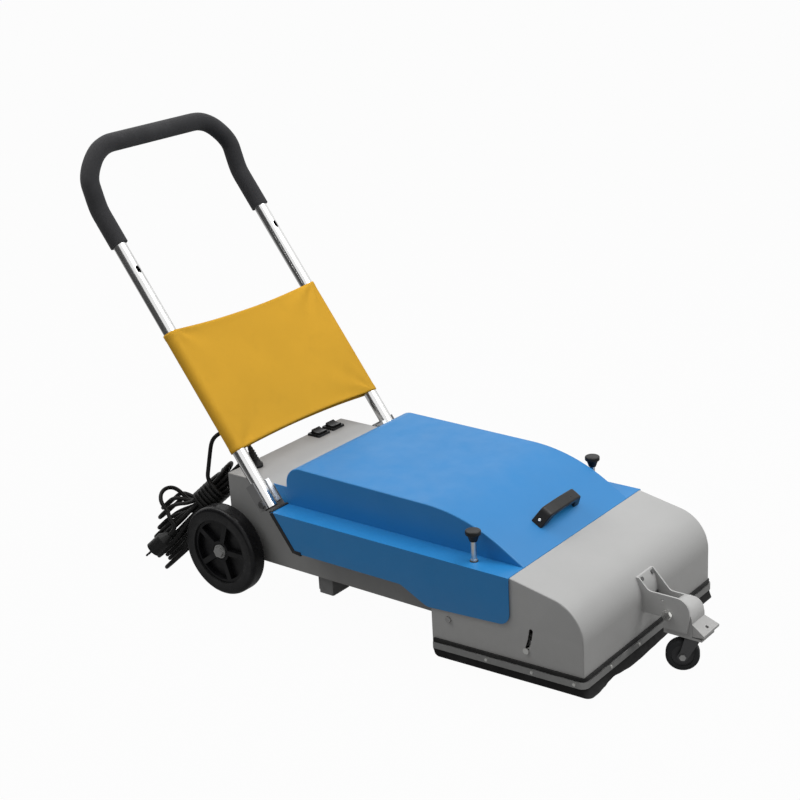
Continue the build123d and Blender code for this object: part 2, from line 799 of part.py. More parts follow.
def rear_tyre(hand):
    """Solid tyre with rounded shoulders."""
    with BuildPart() as tyre:
        with BuildSketch(side_slab(hand, body_half + WHEEL_INSET, WHEEL_WIDTH)):
            with Locations((AXLE_F, axle_z)):
                Circle(WHEEL_D / 2)
        extrude(amount=WHEEL_WIDTH)
        fillet(tyre.edges(), WHEEL_WIDTH * 0.22)
        with BuildSketch(side(0)):
            with Locations((AXLE_F, axle_z)):
                Circle(RIM_D / 2 + SEAT)
        extrude(amount=2 * hood_half, both=True, mode=Mode.SUBTRACT)
    return tyre


for hand, word in ((-1, "left"), (1, "right")):
    finish(rear_hub(hand), f"hub_{word}")
    finish(rear_tyre(hand), f"tyre_{word}")

# Push handle: one bent tube with its grip, plugs, hinge blocks and brackets.
foot_f, foot_z = on_rail(-RAIL_FOOT, 0)


def handle_path(start):
    """Path of the handle tube from a height up the left rail to the same on the right."""
    f, z = on_rail(start, 0)
    return FilletPolyline(
        at(-rail_x, f, z),
        at(-rail_x, bend_f, bend_z),
        at(-rail_x, top_f, top_z),
        at(rail_x, top_f, top_z),
        at(rail_x, bend_f, bend_z),
        at(rail_x, f, z),
        radius=[BEND_RADIUS, CORNER_RADIUS, CORNER_RADIUS, BEND_RADIUS],
    )


def rail_section(along):
    """Plane square to the left rail at a height up it."""
    f, z = on_rail(along, 0)
    return Plane(
        origin=at(-rail_x, f, z),
        x_dir=(1, 0, 0),
        z_dir=(0, math.sin(lean), math.cos(lean)),
    )


with BuildPart() as handle_frame:
    with BuildLine():
        handle_path(-RAIL_FOOT)
    with BuildSketch(rail_section(-RAIL_FOOT)):
        Circle(RAIL_D / 2)
        Circle(RAIL_D / 2 - RAIL_WALL, mode=Mode.SUBTRACT)
    sweep()
    slot_f, slot_z = on_rail(SLOT_UP, 0)
    with BuildSketch(
        Plane(
            origin=at(0, slot_f, slot_z),
            x_dir=(0, math.sin(lean), math.cos(lean)),
            z_dir=(0, -math.cos(lean), math.sin(lean)),
        )
    ):
        with Locations((0, -rail_x), (0, rail_x)):
            SlotOverall(SLOT_LENGTH, SLOT_WIDTH)
    extrude(amount=RAIL_D, mode=Mode.SUBTRACT)
    with BuildSketch(side(0)):
        with Locations((PIVOT_F, PIVOT_Z)):
            Circle(PIVOT_D / 2 + FIT)
    extrude(amount=2 * hood_half, both=True, mode=Mode.SUBTRACT)
finish(handle_frame, "handle_frame")

with BuildPart() as grip_foam:
    with BuildLine():
        handle_path(GRIP_START)
    with BuildSketch(rail_section(GRIP_START)):
        Circle(GRIP_D / 2)
        Circle(RAIL_D / 2 + SEAT, mode=Mode.SUBTRACT)
    sweep()
finish(grip_foam, "grip_foam")

with BuildPart() as rail_plugs:
    with BuildSketch(rail_plane(-RAIL_FOOT)):
        with Locations((0, -rail_x), (0, rail_x)):
            Circle(RAIL_D / 2)
    extrude(amount=-RAIL_WALL)
    with BuildSketch(rail_plane(-RAIL_FOOT)):
        with Locations((0, -rail_x), (0, rail_x)):
            Circle(RAIL_D / 2 - RAIL_WALL - SEAT)
    extrude(amount=RAIL_FOOT - PIVOT_D)
finish(rail_plugs, "rail_plugs")

hinge_inner = dome_half + GAP
hinge_outer = rail_x - RAIL_D / 2 - SEAT


def hinge_block(hand):
    """Plated block on the inner side of a rail's foot, bored for the pivot."""
    with BuildPart() as block:
        with BuildSketch(rail_plane(-HINGE_BELOW)):
            with Locations((0, hand * (hinge_inner + hinge_outer) / 2)):
                Rectangle(HINGE_DEPTH, hinge_outer - hinge_inner)
        extrude(amount=HINGE_LENGTH)
        with BuildSketch(side(0)):
            with Locations((PIVOT_F, PIVOT_Z)):
                Circle(PIVOT_D / 2 + FIT)
        extrude(amount=2 * hood_half, both=True, mode=Mode.SUBTRACT)
    return block


bracket_back = -RAIL_D / 2 - GAP
bracket_x = rail_x + RAIL_D / 2 + 2


def rail_bracket(hand):
    """Folded stop behind a rail's foot: wall tab, web behind the tube, outer cheek."""
    web_out = bracket_x + BRACKET_SHEET
    wall = body_half + SEAT
    cheek_start = -RAIL_FOOT
    with BuildPart() as bracket:
        with BuildSketch(rail_plane(BRACKET_START)):
            with Locations((bracket_back - BRACKET_SHEET / 2, hand * (wall + web_out) / 2)):
                Rectangle(BRACKET_SHEET, web_out - wall)
            with Locations(
                (bracket_back - BRACKET_TAB / 2, hand * (wall + BRACKET_SHEET / 2))
            ):
                Rectangle(BRACKET_TAB, BRACKET_SHEET)
        extrude(amount=BRACKET_END - BRACKET_START)
        with BuildSketch(rail_plane(cheek_start)):
            with Locations(
                (bracket_back / 2 - BRACKET_SHEET / 2 + 4, hand * (web_out - BRACKET_SHEET / 2))
            ):
                Rectangle(-bracket_back + BRACKET_SHEET + 8, BRACKET_SHEET)
        extrude(amount=BRACKET_END - cheek_start)
        with BuildSketch(side(0)):
            with Locations((PIVOT_F, PIVOT_Z)):
                Circle(PIVOT_D / 2 + FIT)
        extrude(amount=2 * hood_half, both=True, mode=Mode.SUBTRACT)
    return bracket


for hand, word in ((-1, "left"), (1, "right")):
    finish(hinge_block(hand), f"hinge_block_{word}")
    finish(rail_bracket(hand), f"rail_bracket_{word}")

with BuildPart() as pivot_bolts:
    for hand in (-1, 1):
        cheek = bracket_x + BRACKET_SHEET
        inside = body_half - SHEET - PIVOT_D
        with BuildSketch(side_slab(hand, inside, cheek - inside)):
            with Locations((PIVOT_F, PIVOT_Z)):
                Circle(PIVOT_D / 2)
        extrude(amount=cheek - inside)
        with BuildSketch(side_slab(hand, cheek, PIVOT_D / 2)):
            with Locations((PIVOT_F, PIVOT_Z)):
                RegularPolygon(PIVOT_D * 0.8, 6, major_radius=False)
        extrude(amount=PIVOT_D / 2)
        with BuildSketch(side_slab(hand, body_half, hinge_inner - GAP - body_half)):
            with Locations((PIVOT_F, PIVOT_Z)):
                Circle(PIVOT_D)
        extrude(amount=hinge_inner - GAP - body_half)
        with BuildSketch(side_slab(hand, body_half - SHEET - PIVOT_D * 0.8, PIVOT_D * 0.8)):
            with Locations((PIVOT_F, PIVOT_Z)):
                RegularPolygon(PIVOT_D * 0.8, 6, major_radius=False)
        extrude(amount=PIVOT_D * 0.8)
finish(pivot_bolts, "pivot_bolts")

# Cloth sleeve, a flattened tube of cloth pulled over both rails.
sleeve_half = RAIL_D / 2 + GAP + SLEEVE_WALL
with BuildPart() as cloth_sleeve:
    with BuildSketch(rail_plane(SLEEVE_START)):
        SlotCenterToCenter(2 * rail_x, 2 * sleeve_half, rotation=90)
        with Locations((0, -rail_x), (0, rail_x)):
            Circle(RAIL_D / 2 + GAP, mode=Mode.SUBTRACT)
    extrude(amount=SLEEVE_LENGTH)
finish(cloth_sleeve, "cloth_sleeve")

# Rest feet under the body, each with a rubber pad.
foot_spots = [
    (hand * (body_half - FOOT_INSET - FOOT_WIDTH / 2), -FOOT_F - FOOT_LENGTH / 2)
    for hand in (-1, 1)
]
with BuildPart() as rest_feet:
    with BuildSketch(level(FOOT_BOTTOM + FOOT_PAD)):
        with Locations(*foot_spots):
            Rectangle(FOOT_WIDTH, FOOT_LENGTH)
    extrude(amount=BODY_BOTTOM - FOOT_BOTTOM - FOOT_PAD)
finish(rest_feet, "rest_feet")

with BuildPart() as foot_pads:
    with BuildSketch(level(FOOT_BOTTOM)):
        with Locations(*foot_spots):
            RectangleRounded(FOOT_WIDTH, FOOT_LENGTH, 4)
    extrude(amount=FOOT_PAD)
finish(foot_pads, "foot_pads")


# Rocker switches: a bezel with its switch body, and the rocker in it.
def switch_frame(x):
    """Bezel on the deck with the switch body below, open at the top for the rocker."""
    well_w = ROCKER_WIDTH + 2 * GAP + 0.4
    well_l = ROCKER_LENGTH + 2 * GAP + 0.4
    with BuildPart() as frame:
        with BuildSketch(level(DECK_Z)):
            with Locations((x, -SWITCH_F)):
                RectangleRounded(BEZEL_WIDTH, BEZEL_LENGTH, 4)
        extrude(amount=BEZEL_RISE, taper=18)
        with BuildSketch(level(DECK_Z)):
            with Locations((x, -SWITCH_F)):
                Rectangle(well_w + 2 * SHEET, well_l + 2 * SHEET)
        extrude(amount=-SWITCH_DEPTH)
        with BuildSketch(level(DECK_Z + BEZEL_RISE)):
            with Locations((x, -SWITCH_F)):
                Rectangle(well_w, well_l)
        extrude(amount=-SWITCH_DEPTH / 2 - BEZEL_RISE, mode=Mode.SUBTRACT)
        with BuildSketch(side(x)):
            with Locations((SWITCH_F, DECK_Z)):
                Circle(1.5)
        extrude(amount=well_w / 2 + SHEET / 2, both=True)
    return frame


def rocker(x):
    """Rocker with a dished top, tipped to its off side."""
    half = ROCKER_LENGTH / 2
    centre = at(x, SWITCH_F, DECK_Z)
    a = math.radians(ROCKER_TILT)
    tilt = Plane(
        origin=centre,
        x_dir=(0, -math.cos(a), -math.sin(a)),
        z_dir=(-1, 0, 0),
    )
    with BuildPart() as part:
        with BuildSketch(tilt):
            with BuildLine():
                rim = Polyline(
                    (half - 1.5, BEZEL_RISE + ROCKER_RISE),
                    (half - 1, -1),
                    (0, -half * 0.7),
                    (1 - half, -1),
                    (1.5 - half, BEZEL_RISE + ROCKER_RISE),
                )
                ThreePointArc(rim @ 1, (0, BEZEL_RISE + ROCKER_RISE * 0.6), rim @ 0)
            make_face()
            Circle(1.5 + FIT, mode=Mode.SUBTRACT)
        extrude(amount=ROCKER_WIDTH / 2, both=True)
    return part


with BuildPart() as switch_frames:
    for place in SWITCH_X:
        add(switch_frame(place).part)
finish(switch_frames, "switch_frames")
for place, word in zip(SWITCH_X, ("inner", "outer")):
    finish(rocker(place), f"rocker_{word}")

# Jackshaft with its pulleys, on bearing plates bolted inside the head's panels.
def draw_link(a, ra, b, rb):
    """Two discs and their common tangents, into the open sketch."""
    a, b = Vector(*a), Vector(*b)
    gap = (b - a).length
    turn = math.atan2(b.Y - a.Y, b.X - a.X)
    tip = math.acos((ra - rb) / gap)
    rim = []
    for sign in (1, -1):
        way = Vector(math.cos(turn + sign * tip), math.sin(turn + sign * tip))
        rim += [a + way * ra, b + way * rb]
    with Locations((a.X, a.Y)):
        Circle(ra)
    with Locations((b.X, b.Y)):
        Circle(rb)
    with BuildLine() as outline:
        Polyline(rim[0], rim[1], rim[3], rim[2], close=True)
    make_face(outline.edges())


with BuildPart() as bearing_plates:
    bolt_f = JACK_F + BEARING_BOLT_F
    bolt_z = JACK_Z + BEARING_BOLT_UP
    for hand in (-1, 1):
        with BuildSketch(side_slab(hand, bearing_inner, BEARING_SHEET)):
            draw_link((JACK_F, JACK_Z), JACK_D * 1.4, (bolt_f, bolt_z), BEARING_BOLT_D * 1.6)
            with Locations((JACK_F, JACK_Z)):
                Circle(JACK_D / 2 + FIT, mode=Mode.SUBTRACT)
            with Locations((bolt_f, bolt_z)):
                Circle(BEARING_BOLT_D / 2 + SEAT, mode=Mode.SUBTRACT)
        extrude(amount=BEARING_SHEET)
finish(bearing_plates, "bearing_plates")

with BuildPart() as bearing_bolts:
    for hand in (-1, 1):
        with BuildSketch(side_slab(hand, bearing_inner + 1, head_half - bearing_inner - 1)):
            with Locations((bolt_f, bolt_z)):
                Circle(BEARING_BOLT_D / 2)
        extrude(amount=head_half - bearing_inner - 1)
        with BuildSketch(side_slab(hand, head_half, BEARING_BOLT_D / 2)):
            with Locations((bolt_f, bolt_z)):
                RegularPolygon(BEARING_BOLT_D * 0.82, 6, major_radius=False)
        extrude(amount=BEARING_BOLT_D / 2)
finish(bearing_bolts, "bearing_bolts")


def pulley_slab(x):
    """Side plane from which a pulley's width centred on x is extruded."""
    return side(x + PULLEY_WIDTH / 2)


with BuildPart() as jackshaft:
    with BuildSketch(side(0)):
        with Locations((JACK_F, JACK_Z)):
            Circle(JACK_D / 2)
    extrude(amount=head_inside - GAP, both=True)
    for x, size in ((drive_belt_x, JACK_PULLEY_D), (brush_belt_x, JACK_DRIVE_D)):
        with BuildSketch(pulley_slab(x)):
            with Locations((JACK_F, JACK_Z)):
                Circle(size / 2)
        extrude(amount=PULLEY_WIDTH)
finish(jackshaft, "jackshaft")

with BuildPart() as motor_pulley:
    with BuildSketch(pulley_slab(drive_belt_x)):
        with Locations((motor_f, MOTOR_Z)):
            Circle(MOTOR_PULLEY_D / 2)
    extrude(amount=PULLEY_WIDTH)
    shaft_end = motor_end - MOTOR_SHAFT_D
    with BuildSketch(side(drive_belt_x + PULLEY_WIDTH / 2)):
        with Locations((motor_f, MOTOR_Z)):
            Circle(MOTOR_SHAFT_D / 2)
    extrude(amount=drive_belt_x + PULLEY_WIDTH / 2 - shaft_end)
finish(motor_pulley, "motor_pulley")

with BuildPart() as brush_motor:
    with BuildSketch(side(motor_end)):
        with Locations((motor_f, MOTOR_Z)):
            Circle(MOTOR_D / 2)
    extrude(amount=MOTOR_LENGTH)
    with BuildSketch(side(motor_end - MOTOR_D / 4)):
        with Locations((motor_f, MOTOR_Z)):
            with PolarLocations(MOTOR_D / 2, 12):
                Rectangle(8, 4)
    extrude(amount=MOTOR_LENGTH - MOTOR_D / 2, mode=Mode.SUBTRACT)
    with BuildSketch(side(motor_end)):
        with Locations((motor_f, MOTOR_Z)):
            Circle(MOTOR_SHAFT_D / 2 + FIT)
    extrude(amount=2 * MOTOR_SHAFT_D, mode=Mode.SUBTRACT)
    # saddles that carry it on the floor of the tub
    floor = BODY_BOTTOM + SHEET
    saddle = 10.0
    with BuildSketch(side(motor_end - saddle)):
        with Locations((motor_f, floor + SHEET * 1.5)):
            Rectangle(MOTOR_D * 0.8, SHEET * 3)
    extrude(amount=MOTOR_LENGTH - 2 * saddle)
    for x in (motor_end - saddle, motor_end - MOTOR_LENGTH + 2 * saddle):
        with BuildSketch(side(x)):
            with Locations((motor_f, (floor + MOTOR_Z) / 2 - saddle)):
                Rectangle(MOTOR_D * 0.8, MOTOR_Z - floor - 2 * saddle)
            with Locations((motor_f, MOTOR_Z)):
                Circle(MOTOR_D / 2 - SHEET, mode=Mode.SUBTRACT)
        extrude(amount=saddle)
finish(brush_motor, "brush_motor")


def belt_loop(x, a, ra, b, rb):
    """Flat belt round two pulleys, standing the running gap off them."""
    with BuildPart() as belt:
        with BuildSketch(side(x + PULLEY_WIDTH / 2 - SHEET)):
            draw_link(a, ra + GAP + BELT, b, rb + GAP + BELT)
        extrude(amount=PULLEY_WIDTH - 2 * SHEET)
        with BuildSketch(side(x + PULLEY_WIDTH)):
            draw_link(a, ra + GAP, b, rb + GAP)
        extrude(amount=2 * PULLEY_WIDTH, mode=Mode.SUBTRACT)
    return belt


jack = (JACK_F, JACK_Z)
drive_belt = belt_loop(
    drive_belt_x, jack, JACK_PULLEY_D / 2, (motor_f, MOTOR_Z), MOTOR_PULLEY_D / 2
)
finish(drive_belt, "drive_belt")
brush_belt = belt_loop(
    brush_belt_x, (brush_f, brush_z), BRUSH_PULLEY_D / 2, jack, JACK_DRIVE_D / 2
)
finish(brush_belt, "brush_belt")

# Swing carriage: two plates on the jackshaft, a tie tube and lugs for the adjusters.
tie_f = JACK_F + TIE_F
tie_z = JACK_Z + TIE_UP
lug_z = JACK_Z - (KNOB_F - JACK_F) * math.tan(arm_dip)
lug_inner = knob_x - SCREW_D
with BuildPart() as brush_carriage:
    for hand in (-1, 1):
        with BuildSketch(side_slab(hand, arm_inner, ARM_SHEET)):
            draw_link(jack, JACK_D * 1.2, (brush_f, brush_z), GUIDE_D * 2)
            draw_link(jack, JACK_D * 1.2, (tie_f, tie_z), TIE_D * 0.8)
            draw_link((tie_f, tie_z), TIE_D * 0.8, (brush_f, brush_z), GUIDE_D * 2)
            with Locations(jack):
                Circle(JACK_D / 2 + FIT, mode=Mode.SUBTRACT)
            with Locations((brush_f, brush_z)):
                Circle(GUIDE_D / 2 + SEAT, mode=Mode.SUBTRACT)
        extrude(amount=ARM_SHEET)
        with BuildSketch(side_slab(hand, lug_inner, arm_inner - lug_inner)):
            with Locations((KNOB_F, lug_z)):
                Rectangle(LUG_LENGTH, LUG_DEPTH)
        extrude(amount=arm_inner - lug_inner)
    with BuildSketch(side(0)):
        with Locations((tie_f, tie_z)):
            Circle(TIE_D / 2)
    extrude(amount=arm_inner, both=True)
    with BuildSketch(level(lug_z)):
        with Locations((-knob_x, -KNOB_F), (knob_x, -KNOB_F)):
            SlotOverall(LUG_LENGTH - 4 * SHEET, SCREW_D + 2, rotation=90)
    extrude(amount=LUG_DEPTH, both=True, mode=Mode.SUBTRACT)
finish(brush_carriage, "brush_carriage")

with BuildPart() as guide_bolts:
    stub = GUIDE_D * 2
    for hand in (-1, 1):
        inside = arm_inner - stub
        with BuildSketch(side_slab(hand, inside, head_half + GAP - inside)):
            with Locations((brush_f, brush_z)):
                Circle(GUIDE_D / 2)
        extrude(amount=head_half + GAP - inside)
        with BuildSketch(side_slab(hand, head_half + GAP, GUIDE_D / 3)):
            with Locations((brush_f, brush_z)):
                Circle(GUIDE_HEAD / 2)
        extrude(amount=GUIDE_D / 3)
finish(guide_bolts, "guide_bolts")

# Brush: a bored core with grooves along it, and a bristle strip in each groove.
core_half = arm_inner - GAP
with BuildPart() as brush_core:
    with BuildSketch(side(0)):
        with Locations((brush_f, brush_z)):
            Circle(BRUSH_CORE_D / 2)
            with PolarLocations(BRUSH_CORE_D / 2, BRUSH_ROWS):
                Rectangle(2 * BRISTLE_ROOT, BRISTLE_SLOT + 2 * SEAT, mode=Mode.SUBTRACT)
    extrude(amount=core_half, both=True)
    with BuildSketch(pulley_slab(brush_belt_x)):
        with Locations((brush_f, brush_z)):
            Circle(BRUSH_PULLEY_D / 2)
    extrude(amount=PULLEY_WIDTH)
    with BuildSketch(side(-core_half + PULLEY_WIDTH + (core_half + brush_belt_x))):
        with Locations((brush_f, brush_z)):
            Circle(BRUSH_CORE_D)
            Circle(BRUSH_PULLEY_D / 2, mode=Mode.SUBTRACT)
    extrude(amount=2 * hood_half, mode=Mode.SUBTRACT)
    with BuildSketch(side(0)):
        with Locations((brush_f, brush_z)):
            Circle(GUIDE_D / 2 + FIT)
    extrude(amount=2 * hood_half, both=True, mode=Mode.SUBTRACT)
finish(brush_core, "brush_core")

bristle_left = brush_belt_x + PULLEY_WIDTH
with BuildPart() as brush_bristles:
    with BuildSketch(side(core_half)):
        with Locations((brush_f, brush_z)):
            with PolarLocations(0, BRUSH_ROWS):
                with Locations(((BRUSH_D + BRUSH_CORE_D) / 4 - BRISTLE_ROOT / 2 + SEAT, 0)):
                    Rectangle((BRUSH_D - BRUSH_CORE_D) / 2 + BRISTLE_ROOT - 2 * SEAT, BRISTLE_SLOT)
    extrude(amount=core_half - bristle_left)
finish(brush_bristles, "brush_bristles")


# Brush height adjusters: bush in the head's shelf, screw, and mushroom knob.
def knob(hand):
    """Flat knob on a tapered neck, bored for the screw's end."""
    low = KNOB_TOP - KNOB_HEIGHT
    spot = (hand * knob_x, -KNOB_F)
    with BuildPart() as part:
        with BuildSketch(level(KNOB_TOP - KNOB_CAP)):
            with Locations(spot):
                Circle(KNOB_D / 2)
        extrude(amount=KNOB_CAP)
        fillet(part.edges().group_by(Axis.Z)[-1], KNOB_CAP * 0.3)
        fillet(part.edges().group_by(Axis.Z)[0], KNOB_CAP * 0.2)
        with BuildSketch(level(low)):
            with Locations(spot):
                Circle(SCREW_D * 0.7)
        with BuildSketch(level(KNOB_TOP - KNOB_CAP)):
            with Locations(spot):
                Circle(KNOB_D * 0.4)
        loft()
        with BuildSketch(level(low)):
            with Locations(spot):
                Circle(SCREW_D / 2 + SEAT)
        extrude(amount=KNOB_HEIGHT * 0.6, mode=Mode.SUBTRACT)
    return part


bush_top = SHOULDER_Z + 1.5
bush_low = shelf_z - SHEET - 12
screw_top = KNOB_TOP - KNOB_HEIGHT * 0.4 - SEAT


def adjuster_screw(hand):
    """Adjuster screw with a collar above and below its bush."""
    spot = (hand * knob_x, -KNOB_F)
    with BuildPart() as part:
        with BuildSketch(level(SCREW_BOTTOM)):
            with Locations(spot):
                Circle(SCREW_D / 2)
        extrude(amount=screw_top - SCREW_BOTTOM)
        for low in (bush_top + GAP, bush_low - GAP - SCREW_D / 4):
            with BuildSketch(level(low)):
                with Locations(spot):
                    Circle(SCREW_D * 0.62)
            extrude(amount=SCREW_D / 4)
    return part


for hand, word in ((-1, "left"), (1, "right")):
    finish(knob(hand), f"knob_{word}")
    finish(adjuster_screw(hand), f"adjuster_screw_{word}")

with BuildPart() as adjuster_bushes:
    spots = [(-knob_x, -KNOB_F), (knob_x, -KNOB_F)]
    with BuildSketch(level(bush_low)):
        with Locations(*spots):
            Circle(BUSH_D / 2)
    extrude(amount=bush_top - bush_low)
    with BuildSketch(level(shelf_z - SHEET - 6)):
        with Locations(*spots):
            Circle(BUSH_FLANGE / 2)
    extrude(amount=6 - SEAT)
    with BuildSketch(level(bush_low)):
        with Locations(*spots):
            Circle(SCREW_D / 2 + FIT)
    extrude(amount=bush_top - bush_low, mode=Mode.SUBTRACT)
finish(adjuster_bushes, "adjuster_bushes")

# Suction side: duct from the mouth behind the brush, dust box, vacuum motor.
floor_z = BODY_BOTTOM + SHEET
dust_front = DUST_REAR + DUST_LENGTH
dust_width = 2 * (body_half - DUST_SIDE)
duct_x = DUCT_LEFT + DUCT_WIDTH / 2
with BuildPart() as suction_duct:
    with BuildSketch(front(dust_front)):
        with Locations((duct_x, DUCT_Z + DUCT_HEIGHT / 2)):
            Rectangle(DUCT_WIDTH, DUCT_HEIGHT)
    extrude(amount=MOUTH_F - dust_front + SHEET)
    with BuildSketch(level(MOUTH_Z)):
        with Locations((0, -MOUTH_F - MOUTH_LENGTH / 2)):
            Rectangle(MOUTH_WIDTH, MOUTH_LENGTH)
    extrude(amount=DUCT_Z + DUCT_HEIGHT - MOUTH_Z)
    with BuildSketch(front(dust_front)):
        with Locations((duct_x, DUCT_Z + DUCT_HEIGHT / 2)):
            Rectangle(DUCT_WIDTH - 2 * SHEET, DUCT_HEIGHT - 2 * SHEET)
    extrude(amount=MOUTH_F - dust_front + 2 * SHEET, mode=Mode.SUBTRACT)
    with BuildSketch(level(MOUTH_Z)):
        with Locations((0, -MOUTH_F - MOUTH_LENGTH / 2)):
            Rectangle(MOUTH_WIDTH - 2 * SHEET, MOUTH_LENGTH - 2 * SHEET)
    extrude(amount=DUCT_Z + DUCT_HEIGHT - MOUTH_Z - SHEET, mode=Mode.SUBTRACT)
finish(suction_duct, "suction_duct")

with BuildPart() as dust_box:
    with BuildSketch(level(floor_z)):
        with Locations((0, -DUST_REAR - DUST_LENGTH / 2)):
            Rectangle(dust_width, DUST_LENGTH)
    extrude(amount=DUST_HEIGHT)
    with BuildSketch(level(floor_z + SHEET)):
        with Locations((0, -DUST_REAR - DUST_LENGTH / 2)):
            Rectangle(dust_width - 2 * SHEET, DUST_LENGTH - 2 * SHEET)
    extrude(amount=DUST_HEIGHT - 2 * SHEET, mode=Mode.SUBTRACT)
    with BuildSketch(front(dust_front)):
        with Locations((duct_x, DUCT_Z + DUCT_HEIGHT / 2)):
            Rectangle(DUCT_WIDTH - 2 * SHEET, DUCT_HEIGHT - 2 * SHEET)
    extrude(amount=2 * SHEET, both=True, mode=Mode.SUBTRACT)
    with BuildSketch(front(DUST_REAR)):
        with Locations((0, floor_z + DUST_HEIGHT * 0.6)):
            Circle(VAC_INLET_D / 2 - SHEET)
    extrude(amount=2 * SHEET, both=True, mode=Mode.SUBTRACT)
finish(dust_box, "dust_box")

with BuildPart() as vacuum_motor:
    with BuildSketch(level(floor_z)):
        with Locations((0, -VAC_F)):
            Circle(VAC_D / 2)
    extrude(amount=VAC_HEIGHT * 0.55)
    with BuildSketch(level(floor_z)):
        with Locations((0, -VAC_F)):
            Circle(VAC_D * 0.36)
    extrude(amount=VAC_HEIGHT)
    with BuildSketch(front(VAC_F)):
        with Locations((0, floor_z + DUST_HEIGHT * 0.6)):
            Circle(VAC_INLET_D / 2)
    extrude(amount=DUST_REAR - VAC_F)
finish(vacuum_motor, "vacuum_motor")

# Front caster unit: bracket on the nose, foot lever, swivel fork and wheel.
lever_f = head_front + LEVER_OUT
cover_f = head_front + LEVER_COVER_OUT
plate_half = BRACKET_WIDTH / 2
arc_f = head_front - NOSE_RADIUS
nose_corner = head_top - (head_front - seam_jog) * math.tan(slope)
arc_z = nose_corner - NOSE_RADIUS * math.tan(math.radians(45 - NOSE_SLOPE / 2))
with BuildPart() as bracket_pocket:
    with BuildSketch(side(0)):
        with Locations((head_front, LEVER_Z)):
            Rectangle(4 * BRACKET_REACH, 4 * BRACKET_REACH)
    extrude(amount=plate_half - BRACKET_PLATE, both=True)
    with BuildSketch(side(0)):
        draw_head(-BRACKET_PLATE - SEAT, -HEAD_WIDTH)
    extrude(amount=plate_half, both=True, mode=Mode.SUBTRACT)

def bracket_cheek(shelf, hand):
    """One half of the bracket as a full block, with the top of its cheek at the shelf."""
    nose = head_front + BRACKET_REACH
    crest = head_front - BRACKET_PLATE * 2
    elbow = crest + (BRACKET_TOP - shelf) * 0.95
    inside = crest - NOSE_RADIUS / 2
    with BuildPart() as cheek:
        with BuildSketch(side_slab(hand, 0, plate_half)):
            with BuildLine() as outline:
                Polyline(
                    (inside, BRACKET_LOW),
                    (head_front + BRACKET_BACK, BRACKET_LOW),
                    (head_front + BRACKET_BACK, BRACKET_DROP),
                    (nose - BRACKET_SLANT, BRACKET_DROP),
                    (nose, LEVER_Z),
                    (nose, shelf),
                    (elbow, shelf),
                    (crest, BRACKET_TOP),
                    (inside, BRACKET_TOP),
                    close=True,
                )
            make_face(outline.edges())
            round_corner((nose, shelf), min(BRACKET_NOSE, shelf - LEVER_Z - 1))
            round_corner((elbow, shelf), BRACKET_ELBOW)
        extrude(amount=plate_half)
    return cheek.part


with BuildPart() as caster_bracket:
    add(bracket_cheek(BRACKET_SHELF, -1))
    add(bracket_cheek(BRACKET_SHELF_RIGHT, 1))
    with BuildSketch(side(0)):
        draw_head(-SEAT, -HEAD_WIDTH)
    extrude(amount=HEAD_WIDTH, both=True, mode=Mode.SUBTRACT)
    add(bracket_pocket.part, mode=Mode.SUBTRACT)
    with BuildSketch(side(0)):
        with Locations((lever_f, LEVER_Z)):
            Circle(LEVER_BOLT_D / 2 + FIT)
        with Locations((lever_f - LEVER_BOLT_D, BRACKET_SHELF - 2 * BRACKET_EYE_D)):
            Circle(BRACKET_EYE_D / 2)
    extrude(amount=plate_half, both=True, mode=Mode.SUBTRACT)
finish(caster_bracket, "caster_bracket")


def nose_plane(turn, x):
    """Plane on the bracket's back plate where the nose's normal rises by the turn."""
    a = math.radians(turn)
    out = NOSE_RADIUS + SEAT + BRACKET_PLATE
    return Plane(
        origin=at(x, arc_f + out * math.cos(a), arc_z + out * math.sin(a)),
        x_dir=(1, 0, 0),
        z_dir=(0, -math.cos(a), math.sin(a)),
    )


with BuildPart() as bracket_screws:
    screw_x = plate_half - BRACKET_PLATE - BRACKET_SCREW * 0.75
    for turn in (0, 29):
        for hand in (-1, 1):
            with BuildSketch(nose_plane(turn, hand * screw_x)):
                Circle(BRACKET_SCREW / 2)
            extrude(amount=BRACKET_SCREW * 0.35)
finish(bracket_screws, "bracket_screws")

arm_half = plate_half - BRACKET_PLATE - GAP
plate_z = FORK_TOP + GAP
fold_f = cover_f + LEVER_COVER
fold_z = LEVER_COVER_Z
root_f = fold_f - 2 * LEVER_SHEET
flare_f = lever_f + PEDAL_FLARE
flare = (PEDAL_TIP_WIDTH / 2 - arm_half) / (pedal_tip - flare_f)
root_half = arm_half - flare * (flare_f - root_f)


def draw_cover(inset, bottom):
    """Side outline of the lever's cover, drawn inwards, down to the given height."""
    half = LEVER_COVER - inset
    with Locations((cover_f, LEVER_COVER_Z)):
        Circle(half)
    with Locations((cover_f, (bottom + LEVER_COVER_Z) / 2)):
        Rectangle(2 * half, LEVER_COVER_Z - bottom)


def pedal_wedge(inset, drop):
    """The pedal as a full wedge from the cover's front to its tip, drawn inwards."""
    with BuildPart() as wedge:
        with BuildSketch(front(root_f)):
            low = plate_z + CASTER_PLATE - drop
            with Locations((0, (low + fold_z - inset) / 2)):
                Rectangle(2 * root_half - 2 * inset, fold_z - inset - low)
        with BuildSketch(front(pedal_tip - inset)):
            low = PEDAL_TIP_Z - PEDAL_SHEET - drop
            with Locations((0, (low + PEDAL_TIP_Z - inset) / 2)):
                Rectangle(PEDAL_TIP_WIDTH - 2 * inset, PEDAL_TIP_Z - inset - low)
        loft()
    return wedge.part


